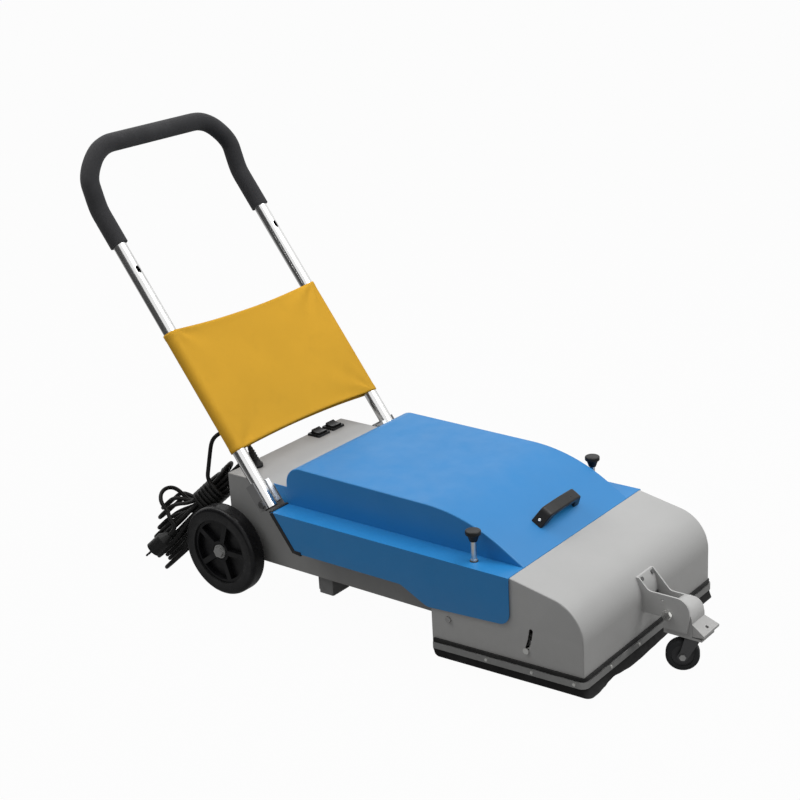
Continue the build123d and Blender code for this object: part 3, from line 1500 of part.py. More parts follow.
pedal_dip = math.atan2(fold_z - PEDAL_TIP_Z, pedal_tip - root_f)
eye_f = pedal_tip - PEDAL_HOLE_BACK * math.cos(pedal_dip)
eye_z = PEDAL_TIP_Z + PEDAL_HOLE_BACK * math.sin(pedal_dip)
with BuildPart() as caster_arm:
    add(pedal_wedge(0, 0))
    add(pedal_wedge(PEDAL_SHEET, 2 * PEDAL_SHEET), mode=Mode.SUBTRACT)
    with BuildSketch(side(0)):
        draw_cover(0, plate_z)
    extrude(amount=arm_half, both=True)
    with BuildSketch(side(0)):
        draw_cover(LEVER_SHEET, plate_z + CASTER_PLATE)
    extrude(amount=arm_half - LEVER_SHEET, both=True, mode=Mode.SUBTRACT)
    # hole near the tip, square to the pedal's face
    with BuildSketch(
        Plane(
            origin=at(0, eye_f, eye_z),
            x_dir=(1, 0, 0),
            z_dir=(0, -math.sin(pedal_dip), math.cos(pedal_dip)),
        )
    ):
        Circle(PEDAL_HOLE_D / 2)
    extrude(amount=2 * PEDAL_SHEET, both=True, mode=Mode.SUBTRACT)
    # swivel plate under the cover, bored for the kingpin
    with BuildSketch(level(plate_z)):
        with Locations((0, -caster_f + 4)):
            Rectangle(2 * arm_half, CASTER_PLATE_LENGTH)
    extrude(amount=CASTER_PLATE)
    with BuildSketch(level(plate_z)):
        with Locations((0, -caster_f)):
            Circle(LEVER_BOLT_D / 2 + FIT)
    extrude(amount=CASTER_PLATE, mode=Mode.SUBTRACT)
    with BuildSketch(side(0)):
        with Locations((lever_f, LEVER_Z)):
            Circle(LEVER_BOLT_D / 2 + SEAT)
    extrude(amount=HEAD_WIDTH, both=True, mode=Mode.SUBTRACT)
finish(caster_arm, "caster_arm")

with BuildPart() as lever_bolt:
    with BuildSketch(side(0)):
        with Locations((lever_f, LEVER_Z)):
            Circle(LEVER_BOLT_D / 2)
    extrude(amount=plate_half + GAP, both=True)
    washer = LEVER_BOLT_D / 6
    for hand in (-1, 1):
        with BuildSketch(side_slab(hand, plate_half + GAP, washer)):
            with Locations((lever_f, LEVER_Z)):
                Circle(LEVER_BOLT_D)
        extrude(amount=washer)
        with BuildSketch(side_slab(hand, plate_half + GAP + washer, LEVER_BOLT_D / 2)):
            with Locations((lever_f, LEVER_Z)):
                RegularPolygon(LEVER_BOLT_D * 0.75, 6, major_radius=False)
        extrude(amount=LEVER_BOLT_D / 2)
finish(lever_bolt, "lever_bolt")

turn = math.radians(CASTER_TURN)
caster_ahead = Vector(math.sin(-turn), -math.cos(turn), 0)
caster_right = Vector(math.cos(turn), math.sin(-turn), 0)
caster_z = CASTER_D / 2


def caster_side(offset):
    """Upright plane along the caster's heading, from its swivel axis, facing its left."""
    return Plane(
        origin=at(0, caster_f, 0) + caster_right * offset,
        x_dir=caster_ahead,
        z_dir=caster_right * -1,
    )


fork_inner = CASTER_WIDTH / 2 + 2.5
with BuildPart() as caster_fork:
    with BuildSketch(level(FORK_TOP - FORK_CROWN)):
        with Locations((0, -caster_f)):
            Circle(FORK_D / 2)
    extrude(amount=FORK_CROWN)
    with BuildSketch(level(FORK_TOP - FORK_CROWN)):
        with Locations((0, -caster_f)):
            Circle(LEVER_BOLT_D / 2)
    extrude(amount=FORK_CROWN + GAP + CASTER_PLATE + GAP)
    with BuildSketch(level(plate_z + CASTER_PLATE + GAP)):
        with Locations((0, -caster_f)):
            Circle(LEVER_BOLT_D * 0.7)
    extrude(amount=LEVER_BOLT_D / 2)
    for hand in (-1, 1):
        start = fork_inner + FORK_SHEET if hand > 0 else -fork_inner
        crown = FORK_D * 0.34
        axle_spot = (-CASTER_TRAIL, caster_z)
        with BuildSketch(caster_side(start)):
            with BuildLine():
                Polyline(
                    (-crown, FORK_TOP - FORK_CROWN / 2),
                    (crown, FORK_TOP - FORK_CROWN / 2),
                    (crown, FORK_TOP - FORK_CROWN * 1.5),
                    (10 - CASTER_TRAIL, caster_z - 5),
                    (-10 - CASTER_TRAIL, caster_z - 5),
                    close=True,
                )
            make_face()
            with Locations(axle_spot):
                Circle(11)
                Circle(CASTER_AXLE_D / 2 + SEAT, mode=Mode.SUBTRACT)
        extrude(amount=FORK_SHEET)
finish(caster_fork, "caster_fork")

with BuildPart() as caster_axle:
    with BuildSketch(caster_side(0)):
        with Locations((-CASTER_TRAIL, caster_z)):
            Circle(CASTER_AXLE_D / 2)
    extrude(amount=fork_inner + FORK_SHEET + SEAT, both=True)
    for start in (fork_inner + FORK_SHEET + SEAT + 4, -fork_inner - FORK_SHEET - SEAT):
        with BuildSketch(caster_side(start)):
            with Locations((-CASTER_TRAIL, caster_z)):
                RegularPolygon(6.5, 6, major_radius=False)
        extrude(amount=4)
finish(caster_axle, "caster_axle")

with BuildPart() as caster_hub:
    hub_half = fork_inner - GAP
    with BuildSketch(caster_side(0)):
        with Locations((-CASTER_TRAIL, caster_z)):
            Circle(CASTER_HUB_D / 2)
    extrude(amount=CASTER_WIDTH / 2 - 3, both=True)
    with BuildSketch(caster_side(0)):
        with Locations((-CASTER_TRAIL, caster_z)):
            Circle(CASTER_AXLE_D)
    extrude(amount=hub_half, both=True)
    with BuildSketch(caster_side(0)):
        with Locations((-CASTER_TRAIL, caster_z)):
            Circle(CASTER_AXLE_D / 2 + FIT)
    extrude(amount=CASTER_WIDTH, both=True, mode=Mode.SUBTRACT)
finish(caster_hub, "caster_hub")

with BuildPart() as caster_tyre:
    with BuildSketch(caster_side(0)):
        with Locations((-CASTER_TRAIL, caster_z)):
            Circle(CASTER_D / 2)
    extrude(amount=CASTER_WIDTH / 2, both=True)
    fillet(caster_tyre.edges().filter_by(GeomType.CIRCLE), CASTER_WIDTH * 0.22)
    with BuildSketch(caster_side(0)):
        with Locations((-CASTER_TRAIL, caster_z)):
            Circle(CASTER_HUB_D / 2 + SEAT)
    extrude(amount=CASTER_WIDTH, both=True, mode=Mode.SUBTRACT)
finish(caster_tyre, "caster_tyre")

# Mains cord: boot on the deck, hank with a wrapped waist, plug, and the free lead.
boot_tip = at(boot_x + BOOT_LEAN[0], BOOT_F + BOOT_LEAN[1], DECK_Z + BOOT_HEIGHT)
boot_way = (boot_tip - at(boot_x, BOOT_F, DECK_Z + BOOT_NUT_HEIGHT)).normalized()
with BuildPart() as cord_boot:
    with BuildSketch(level(DECK_Z)):
        with Locations((boot_x, -BOOT_F)):
            RegularPolygon(BOOT_NUT / 2, 6, major_radius=False)
    extrude(amount=BOOT_NUT_HEIGHT)
    with BuildSketch(level(DECK_Z - 3 * SHEET)):
        with Locations((boot_x, -BOOT_F)):
            Circle(BOOT_D / 2)
    extrude(amount=3 * SHEET + BOOT_NUT_HEIGHT)
    with BuildSketch(level(DECK_Z + BOOT_NUT_HEIGHT)):
        with Locations((boot_x, -BOOT_F)):
            Circle(BOOT_D / 2)
    with BuildSketch(Plane(origin=boot_tip, z_dir=boot_way)):
        Circle(BOOT_TIP_D / 2)
    loft()
finish(cord_boot, "cord_boot")

# The hank hangs behind the body: its own frame has x up the bundle, y across its
# loops and z through its layers.
hank_up = Vector(*HANK_UP).normalized()
hank_deep = Vector(*HANK_DEEP)
hank_deep = (hank_deep - hank_up * hank_deep.dot(hank_up)).normalized()
hank_frame = Plane(
    origin=at(HANK_INSET - body_half, *HANK_PLACE), x_dir=hank_up, z_dir=hank_deep
)
UP = Vector(1, 0, 0)
ACROSS = Vector(0, 1, 0)
DEEP = Vector(0, 0, 1)
wrap_side = HANK_WAIST + (HANK_LOOPS - 0.5) * HANK_PITCH
wrap_top = hank_layers * HANK_LAYER
wrap_low = -HANK_LAYER


def run(a, b, heading):
    """A run that leaves and arrives along its heading: straight, or two equal arcs."""
    across = (b - a) - heading * (b - a).dot(heading)
    if across.length < 0.01:
        Line(a, b)
    else:
        first = TangentArc(a, (a + b) / 2, tangent=heading)
        TangentArc((a + b) / 2, b, tangent=first % 1)


def waist(index, hand, layer):
    """Where a strand enters the waist from below."""
    return Vector(WRAP_START, hand * (HANK_WAIST + index * HANK_PITCH), layer * HANK_LAYER)


def crown(index, hand, layer):
    """Where a strand meets the turn at the hank's top."""
    return Vector(HANK_TOP[layer], hand * (HANK_WAIST + index * HANK_PITCH), layer * HANK_LAYER)


def eye(index, hand, layer):
    """Where a strand meets the turn at the hank's fanned low end."""
    middle = (hank_layers - 1) / 2
    z = (middle + (layer - middle) * HANK_FAN) * HANK_LAYER
    return Vector(-HANK_LOW[layer], hand * (HANK_EYE + index * HANK_PITCH), z)


def wrap_round(start, side_on, down):
    """Takes a wrap round one side of the waist: corner, straight run, corner."""
    corner = start + (side_on + down) * WRAP_BEND
    TangentArc(start, corner, tangent=side_on)
    below = corner + down * (wrap_top - wrap_low - 2 * WRAP_BEND)
    Line(corner, below)
    end = below + (down - side_on) * WRAP_BEND
    TangentArc(below, end, tangent=down)
    return end


# Each strand: its place in the spiral, its layer at the low end and at the top.
# Whole places lie on the near side of the bundle and run up, half places run down.
strands = []
places = [k / 2 for k in range(2 * HANK_LOOPS)]
for base in range(0, hank_layers, 2):
    for k in places if base == 0 else places[1:]:
        strands.append((k, base + 1 if k == places[-1] else base, base))
    for k in reversed(places[:-1]):
        strands.append((k, base + 1, base + 2 if k == 0 else base + 1))

plug_side = HANK_EYE + (HANK_LOOPS - 0.5) * HANK_PITCH + (CORD_D + PLUG_D) / 2 + 1
plug_seat = Vector(-LOOSE_LOW, plug_side, LOOSE_DEEP)
with BuildLine() as hank_path:
    # loose end: from the plug up beside the bundle, round in a loop and into the waist
    off_plug = plug_seat + UP * CORD_D
    Line(plug_seat, off_plug)
    rise = off_plug + (UP - DEEP) * LOOSE_BEND
    TangentArc(off_plug, rise, tangent=UP)
    fall = Vector(WRAP_START - LOOSE_ROUND, HANK_WAIST, -LOOSE_RISE)
    over = fall + ACROSS * LOOSE_OUT - UP * 2 * LOOSE_BEND
    run(rise, over, DEEP * -1)
    TangentArc(over, fall, tangent=DEEP * -1)
    low = Vector(fall.X, HANK_WAIST, -LOOSE_ROUND)
    Line(fall, low)
    TangentArc(low, waist(0, 1, 0), tangent=DEEP)
    for strand, following in zip(strands, strands[1:]):
        k, low_layer, top_layer = strand
        if k == int(k):
            if strand != strands[0]:
                run(low, waist(k, 1, top_layer), UP)
            Line(waist(k, 1, top_layer), crown(k, 1, top_layer))
            top = crown(following[0], -1, top_layer)
            TangentArc(crown(k, 1, top_layer), top, tangent=UP)
        else:
            Line(top, waist(k, -1, top_layer))
            run(waist(k, -1, top_layer), eye(k, -1, low_layer), UP * -1)
            low = eye(following[0], 1, low_layer)
            TangentArc(eye(k, -1, low_layer), low, tangent=UP * -1)
    # from the last strand into the wraps round the waist
    turn_in = Vector(WRAP_START - WRAP_TURN, HANK_WAIST, wrap_top)
    run(low, turn_in, UP)
    here = turn_in + (UP + ACROSS) * WRAP_TURN
    TangentArc(turn_in, here, tangent=UP)
    for wrap in range(WRAPS):
        over = Vector(here.X, wrap_side, wrap_top)
        run(here, over, ACROSS)
        under = wrap_round(over, ACROSS, DEEP * -1)
        back = Vector(here.X + WRAP_PITCH, -wrap_side, wrap_low)
        run(under, back, ACROSS * -1)
        here = wrap_round(back, ACROSS * -1, DEEP)
    # off the near side of the waist and up into the free lead
    leave = Vector(here.X, wrap_side, wrap_top)
    Line(here, leave)
    down = leave + (ACROSS - DEEP) * WRAP_BEND
    TangentArc(leave, down, tangent=ACROSS)
    turn_up = Vector(down.X, down.Y, wrap_low + WRAP_BEND)
    Line(down, turn_up)
    leave_turn = math.radians(WRAP_LEAVE_TURN)
    lead_heading = UP * math.sin(leave_turn) - DEEP * math.cos(leave_turn)
    swing = UP * (1 - math.cos(leave_turn)) - DEEP * math.sin(leave_turn)
    TangentArc(turn_up, turn_up + swing * WRAP_LEAVE, tangent=DEEP * -1)
    hank_end = turn_up + swing * WRAP_LEAVE + lead_heading * CORD_D
    Line(turn_up + swing * WRAP_LEAVE, hank_end)

with BuildPart() as hank_bundle:
    add(hank_path.line)
    with BuildSketch(Plane(origin=plug_seat, x_dir=(0, 1, 0), z_dir=UP)) as cord_section:
        RegularPolygon(CORD_D / 2, HANK_FACETS)
    sweep(clean=False)
with BuildPart() as cord_hank:
    add(hank_bundle.part.moved(hank_frame.location), clean=False)
finish(cord_hank, "cord_hank")

hank_wire = hank_path.wires()[0]
samples = max(200, int(hank_wire.length / 2.5))
trace = np.array([tuple(hank_wire @ (i / samples)) for i in range(samples + 1)])
apart = int(3 * CORD_D / 2.5)
least = 1e9
for i in range(samples + 1 - apart):
    least = min(least, np.linalg.norm(trace[i + apart :] - trace[i], axis=1).min())
print("hank length", round(hank_wire.length), "least gap to itself", round(least - CORD_D, 2))
hank_true = hank_wire.length * cord_section.sketch.area
print("hank volume over section times length", round(cord_hank.part.volume / hank_true, 4))

with BuildPart() as plug:
    with BuildSketch(Plane(origin=plug_seat, x_dir=(0, 1, 0), z_dir=UP * -1)):
        Circle(CORD_D * 0.8)
    with BuildSketch(Plane(origin=plug_seat - UP * PLUG_LENGTH / 3, x_dir=(0, 1, 0), z_dir=UP * -1)):
        Circle(PLUG_D / 2)
    loft()
    with BuildSketch(Plane(origin=plug_seat - UP * PLUG_LENGTH / 3, x_dir=(0, 1, 0), z_dir=UP * -1)):
        Circle(PLUG_D / 2)
    extrude(amount=PLUG_LENGTH * 2 / 3)
    with BuildSketch(Plane(origin=plug_seat - UP * PLUG_LENGTH, x_dir=(0, 1, 0), z_dir=UP * -1)):
        with GridLocations(PIN_SPACING, 1, 2, 1):
            Circle(PIN_D / 2)
    extrude(amount=PIN_LENGTH)
with BuildPart() as cord_plug:
    add(plug.part.moved(hank_frame.location))
finish(cord_plug, "cord_plug")

# Free lead from the hank over to the boot on the deck.
lead_start = hank_frame.from_local_coords(hank_end)
lead_way = hank_frame.from_local_coords(hank_end + lead_heading) - lead_start
lead_out = Vector(boot_tip.X - lead_start.X, boot_tip.Y - lead_start.Y, 0).normalized()
lead_route = [lead_start, lead_start + lead_way * LEAD_FIRST]
lead_route += [lead_start + lead_out * out + Vector(0, 0, rise) for out, rise in LEAD_POINTS]
lead_route += [boot_tip + boot_way * LEAD_LAST, boot_tip]
lead_radii = []
for a, b, c in zip(lead_route, lead_route[1:], lead_route[2:]):
    bend = math.radians((b - a).get_angle(c - b))
    lead_radii.append(0.45 * min((b - a).length, (c - b).length) / math.tan(bend / 2))
print("lead radii", [round(r) for r in lead_radii])
with BuildPart() as cord_lead:
    with BuildLine() as lead_line:
        FilletPolyline(*lead_route, radius=lead_radii)
    with BuildSketch(Plane(origin=lead_start, z_dir=lead_way)):
        Circle(CORD_D / 2)
    sweep()
finish(cord_lead, "cord_lead")
lead_length = lead_line.wires()[0].length
lead_true = lead_length * math.pi * CORD_D**2 / 4
print("lead length", round(lead_length))
print("lead volume over section times length", round(cord_lead.part.volume / lead_true, 4))
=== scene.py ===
"""Dresses the escalator cleaning machine: cord, sleeve, grip, skirt, trim, finishes and studio."""

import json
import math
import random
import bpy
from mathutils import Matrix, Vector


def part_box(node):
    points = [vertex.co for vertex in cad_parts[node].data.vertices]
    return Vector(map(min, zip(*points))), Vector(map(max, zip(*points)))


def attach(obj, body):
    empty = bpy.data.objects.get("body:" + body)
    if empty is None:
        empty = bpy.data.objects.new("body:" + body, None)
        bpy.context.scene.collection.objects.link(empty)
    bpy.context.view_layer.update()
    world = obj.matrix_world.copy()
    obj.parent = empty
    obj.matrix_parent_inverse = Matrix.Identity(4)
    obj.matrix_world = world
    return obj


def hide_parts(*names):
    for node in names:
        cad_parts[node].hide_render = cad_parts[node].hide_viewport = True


bl_info = {
    "name": "Escalator cleaning machine",
    "version": (1, 0, 0),
    "blender": (4, 5, 0),
    "location": "View3D > Sidebar > Cleaner",
    "description": "Adds the soft pieces, trim, finishes and studio to the machine's solids",
    "category": "Object",
}

import bmesh
import bpy
from bpy.props import FloatProperty, FloatVectorProperty, IntProperty, PointerProperty
from mathutils import Matrix, Vector

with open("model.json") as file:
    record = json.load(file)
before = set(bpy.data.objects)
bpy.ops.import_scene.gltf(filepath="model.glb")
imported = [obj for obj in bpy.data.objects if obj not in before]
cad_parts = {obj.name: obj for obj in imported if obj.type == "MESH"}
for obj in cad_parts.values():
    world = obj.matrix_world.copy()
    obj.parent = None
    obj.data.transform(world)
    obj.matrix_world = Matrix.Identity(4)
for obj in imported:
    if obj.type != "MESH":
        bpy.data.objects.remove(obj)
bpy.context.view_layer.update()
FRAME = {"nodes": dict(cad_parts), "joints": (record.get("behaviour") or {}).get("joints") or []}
NODES = FRAME["nodes"]
JOINTS = {j["name"]: j for j in FRAME["joints"]}
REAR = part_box("body_tub")[1].y
PIVOT = Vector(JOINTS["handle_fold"]["pos_m"])
LEAN = math.radians(36)
GRIP_LEAN = math.radians(18)
RAIL_X = 0.239
CORD_D = 0.010
HALF_CORNER = math.radians(22.5)  # an octagon's, where four points make a half turn


def at(x, f, z):
    """Place f metres forward of the body's rear wall."""
    return Vector((x, REAR - f, z))


def on_rail(along, across, x):
    """Place that far up the rails from their pivot and that far in front of them."""
    back = Vector((0, math.sin(LEAN), math.cos(LEAN)))
    ahead = Vector((0, -math.cos(LEAN), math.sin(LEAN)))
    return Vector((x, PIVOT.y, PIVOT.z)) + back * along + ahead * across


# Settings


class CleanerPaint(bpy.types.PropertyGroup):
    hood_blue: FloatVectorProperty(
        name="Hood blue", description="Enamel of the hood", subtype="COLOR",
        default=(0.020, 0.210, 0.515),
    )
    body_grey: FloatVectorProperty(
        name="Body grey", description="Enamel of the body and brush head", subtype="COLOR",
        default=(0.42, 0.42, 0.415),
    )
    bracket_grey: FloatVectorProperty(
        name="Bracket grey", description="Enamel of the caster bracket", subtype="COLOR",
        default=(0.45, 0.45, 0.445),
    )
    cloth_yellow: FloatVectorProperty(
        name="Cloth yellow", description="Dye of the cloth sleeve", subtype="COLOR",
        default=(0.71, 0.385, 0.033),
    )
    peel: FloatProperty(
        name="Orange peel", description="Strength of the enamel's fine ripple", default=0.06,
        min=0, max=1, subtype="FACTOR",
    )


class CleanerSoft(bpy.types.PropertyGroup):
    cord_length: FloatProperty(
        name="Cord length", description="Mains cord from the deck to its plug",
        default=8.18, unit="LENGTH",
    )
    sleeve_dip: FloatProperty(
        name="Sleeve dip", description="How far the sleeve's edges bow in between the rails",
        default=0.010, unit="LENGTH",
    )
    sleeve_fold: FloatProperty(
        name="Sleeve folds", description="Height of the pulls at the sleeve's corners",
        default=0.0022, unit="LENGTH",
    )
    tufts: IntProperty(
        name="Tufts", description="Bristle tufts in each row of the brush", default=58, min=10
    )


class CleanerStage(bpy.types.PropertyGroup):
    lens: FloatProperty(
        name="Lens", description="Focal length on a square 36 mm sensor",
        default=73.77, subtype="DISTANCE_CAMERA",
    )
    azimuth: FloatProperty(
        name="Azimuth", description="Camera's turn to the machine's left",
        default=math.radians(-51.356), subtype="ANGLE",
    )
    elevation: FloatProperty(
        name="Elevation", description="Camera's tilt down", default=math.radians(19.838),
        subtype="ANGLE",
    )
    roll: FloatProperty(
        name="Roll", description="Camera's roll", default=math.radians(-3.15), subtype="ANGLE"
    )
    ambient: FloatProperty(
        name="Ambient", description="Strength of the studio's even light", default=0.29, min=0
    )
    key: FloatProperty(
        name="Key lamp", description="Power of the large lamp overhead", default=88, unit="POWER"
    )


# Mesh helpers


def new_mesh(name, verts, faces, smooth=True):
    """A mesh object from points and faces, with its normals outwards."""
    mesh = bpy.data.meshes.new(name)
    mesh.from_pydata([tuple(v) for v in verts], [], faces)
    bm = bmesh.new()
    bm.from_mesh(mesh)
    bmesh.ops.recalc_face_normals(bm, faces=bm.faces)
    bm.to_mesh(mesh)
    bm.free()
    mesh.polygons.foreach_set("use_smooth", [smooth] * len(mesh.polygons))
    obj = bpy.data.objects.new(name, mesh)
    bpy.context.scene.collection.objects.link(obj)
    return obj


def loft(rows, verts, faces):
    """Adds a capped skin over closed rows of points to a mesh's points and faces."""
    base, n = len(verts), len(rows[0])
    for row in rows:
        verts.extend(row)
    for low in range(base, len(verts) - n, n):
        for k in range(n):
            m = (k + 1) % n
            faces.append((low + k, low + m, low + n + m, low + n + k))
    faces.append(list(range(base, base + n)))
    faces.append(list(range(len(verts) - n, len(verts))))


def nurbs(name, points, radius, resolution=6, bevel=4):
    """A round cord along one smooth open spline."""
    curve = bpy.data.curves.new(name, "CURVE")
    curve.dimensions = "3D"
    spline = curve.splines.new("NURBS")
    spline.points.add(len(points) - 1)
    for place, point in zip(spline.points, points):
        place.co = (*point, 1)
    spline.order_u = 3
    spline.use_endpoint_u = True
    spline.resolution_u = resolution
    curve.bevel_depth = radius
    curve.bevel_resolution = bevel
    curve.use_fill_caps = True
    obj = bpy.data.objects.new(name, curve)
    bpy.context.scene.collection.objects.link(obj)
    return obj


def lathe(name, outline, origin, way, knee=0.0, segments=32):
    """A turned piece: (radius, height) pairs, upright to the knee and then along the way."""
    up = Vector((0, 0, 1))
    lean = up.rotation_difference(way).to_matrix()
    verts, faces = [], []
    rows = len(outline)
    for k in range(segments):
        a = 2 * math.pi * k / segments
        for r, h in outline:
            ring = Vector((r * math.cos(a), r * math.sin(a), 0))
            spot = up * min(h, knee) + way * max(0.0, h - knee)
            verts.append(origin + spot + (lean @ ring if h > knee else ring))
    for k in range(segments):
        n = (k + 1) % segments
        for i in range(rows - 1):
            faces.append((k * rows + i, n * rows + i, n * rows + i + 1, k * rows + i + 1))
    faces.append([k * rows for k in range(segments)][::-1])
    faces.append([k * rows + rows - 1 for k in range(segments)])
    return new_mesh(name, verts, faces)


# Finishes


class Finish:
    """One material in the making: its shader and short ways to feed it."""

    def __init__(self, name, colour, rough, metal=0.0, gleam=0.25):
        self.material = bpy.data.materials.new(name)
        self.material.use_nodes = True
        self.tree = self.material.node_tree
        self.shader = self.tree.nodes["Principled BSDF"]
        self.colour = (*colour, 1)
        self.shader.inputs["Base Color"].default_value = self.colour
        self.shader.inputs["Roughness"].default_value = rough
        self.shader.inputs["Metallic"].default_value = metal
        self.shader.inputs["Specular IOR Level"].default_value = 0.5 if metal else gleam
        self.place = self.tree.nodes.new("ShaderNodeTexCoord").outputs["Object"]

    def link(self, a, b):
        self.tree.links.new(a, b)

    def node(self, kind, **values):
        made = self.tree.nodes.new(kind)
        for key, value in values.items():
            setattr(made, key, value)
        return made

    def noise(self, scale, detail=3.0, rough=0.55, stretch=(1, 1, 1)):
        """Noise in object space, with the scale in turns per metre."""
        mapping = self.node("ShaderNodeMapping")
        mapping.inputs["Scale"].default_value = stretch
        self.link(self.place, mapping.inputs["Vector"])
        made = self.node("ShaderNodeTexNoise")
        made.inputs["Scale"].default_value = scale
        made.inputs["Detail"].default_value = detail
        made.inputs["Roughness"].default_value = rough
        self.link(mapping.outputs["Vector"], made.inputs["Vector"])
        return made.outputs["Fac"]

    def ramp(self, value, low, high, start, end):
        """Maps a value between two ends, clamped."""
        made = self.node("ShaderNodeMapRange")
        made.inputs["From Min"].default_value = low
        made.inputs["From Max"].default_value = high
        made.inputs["To Min"].default_value = start
        made.inputs["To Max"].default_value = end
        self.link(value, made.inputs["Value"])
        return made.outputs["Result"]

    def math(self, kind, a, b):
        made = self.node("ShaderNodeMath", operation=kind)
        for socket, value in zip(made.inputs, (a, b)):
            if isinstance(value, (int, float)):
                socket.default_value = value
            else:
                self.link(value, socket)
        return made.outputs["Value"]

    def tint(self, value, other):
        """Mixes another colour over what the base colour is so far."""
        made = self.node("ShaderNodeMix", data_type="RGBA")
        base = self.shader.inputs["Base Color"]
        if base.is_linked:
            self.link(base.links[0].from_socket, made.inputs["A"])
        else:
            made.inputs["A"].default_value = base.default_value
        made.inputs["B"].default_value = (*other, 1)
        self.link(value, made.inputs["Factor"])
        self.link(made.outputs["Result"], base)

    def shade(self, factor):
        """The base colour made lighter or darker."""
        return tuple(min(1.0, c * factor) for c in self.colour[:3])

    def roughness(self, value):
        self.link(value, self.shader.inputs["Roughness"])

    def bump(self, height, strength, depth):
        made = self.node("ShaderNodeBump")
        made.inputs["Strength"].default_value = strength
        made.inputs["Distance"].default_value = depth
        normal = self.shader.inputs["Normal"]
        if normal.is_linked:
            self.link(normal.links[0].from_socket, made.inputs["Normal"])
        self.link(height, made.inputs["Height"])
        self.link(made.outputs["Normal"], normal)

    def worn_edges(self, colour, amount):
        """Edges rubbed through, where the surface turns sharply outwards."""
        edge = self.node("ShaderNodeNewGeometry").outputs["Pointiness"]
        rub = self.ramp(edge, 0.53, 0.62, 0, amount)
        self.tint(self.math("MULTIPLY", rub, self.noise(60, 4)), colour)


def enamel(name, colour, gloss, peel):
    """Powder-coat enamel: fine ripple, faint clouding, dust low down, rubbed edges."""
    made = Finish(name, colour, 0.42, gleam=gloss)
    cloud = made.noise(7, 4)
    made.tint(made.ramp(cloud, 0.42, 0.7, 0, 0.35), made.shade(0.9))
    made.tint(made.ramp(made.noise(2.2, 5), 0.5, 0.75, 0, 0.22), made.shade(1.12))
    height = made.node("ShaderNodeSeparateXYZ")
    made.link(made.place, height.inputs["Vector"])
    low = made.ramp(height.outputs["Z"], 0.03, 0.2, 0.35, 0)
    made.tint(made.math("MULTIPLY", low, made.noise(38, 6)), (0.23, 0.21, 0.18))
    made.worn_edges(made.shade(1.25), 0.35)
    made.roughness(made.ramp(made.noise(18, 5), 0.3, 0.75, 0.34, 0.5))
    made.bump(made.noise(520, 2), peel, 0.0004)
    made.bump(made.noise(9, 3), 0.05, 0.004)
    return made.material


def rubber(name, colour, rough, grain=900, gleam=0.16):
    """Moulded rubber: fine grain, paler dusty patches."""
    made = Finish(name, colour, rough, gleam=gleam)
    dust = made.ramp(made.noise(26, 6), 0.5, 0.8, 0, 0.35)
    made.tint(dust, tuple(c * 0.6 + 0.05 for c in colour))
    made.roughness(made.ramp(made.noise(70, 4), 0.3, 0.7, rough - 0.12, rough + 0.12))
    made.bump(made.noise(grain, 3), 0.25, 0.0004)
    made.worn_edges((0.09, 0.09, 0.09), 0.4)
    return made.material


def plastic(name, colour, rough):
    """Moulded plastic: spark texture and finger shine."""
    made = Finish(name, colour, rough, gleam=0.22)
    made.tint(made.ramp(made.noise(30, 4), 0.45, 0.75, 0, 0.4), made.shade(1.5))
    made.roughness(made.ramp(made.noise(45, 5), 0.3, 0.7, rough - 0.1, rough + 0.14))
    made.bump(made.noise(1300, 2), 0.18, 0.0003)
    return made.material


def metal(name, colour, rough, stretch=(1, 1, 1)):
    """Bare or plated metal: streaks along one way, patches of dulling."""
    made = Finish(name, colour, rough, 1.0)
    lines = made.noise(260, 4, 0.6, stretch)
    made.tint(made.ramp(lines, 0.35, 0.8, 0, 0.3), made.shade(0.72))
    spots = made.noise(24, 5)
    made.roughness(made.ramp(spots, 0.3, 0.75, rough * 0.75, rough * 1.6 + 0.03))
    made.bump(lines, 0.05, 0.0003)
    return made.material


def chrome(name):
    """Bright plating with faint draw lines along the tube and hazy patches."""
    made = Finish(name, (0.78, 0.78, 0.775), 0.13, 1.0)
    made.tint(made.ramp(made.noise(14, 5), 0.55, 0.8, 0, 0.35), (0.6, 0.6, 0.58))
    made.roughness(made.ramp(made.noise(20, 6), 0.3, 0.75, 0.08, 0.24))
    made.bump(made.noise(240, 3, 0.5, (4, 0.2, 0.2)), 0.03, 0.0003)
    return made.material


def foam(name):
    """Closed-cell foam: pinholes, soft sheen, handled patches."""
    made = Finish(name, (0.030, 0.030, 0.032), 0.78, gleam=0.15)
    made.shader.inputs["Sheen Weight"].default_value = 0.12
    made.shader.inputs["Sheen Roughness"].default_value = 0.5
    cells = made.node("ShaderNodeTexVoronoi")
    cells.inputs["Scale"].default_value = 620
    made.link(made.place, cells.inputs["Vector"])
    made.tint(made.ramp(cells.outputs["Distance"], 0.1, 0.5, 0.5, 0), (0.012, 0.012, 0.013))
    made.tint(made.ramp(made.noise(16, 5), 0.5, 0.75, 0, 0.5), (0.05, 0.05, 0.053))
    made.bump(cells.outputs["Distance"], 0.5, 0.0008)
    made.bump(made.noise(60, 4), 0.2, 0.002)
    return made.material


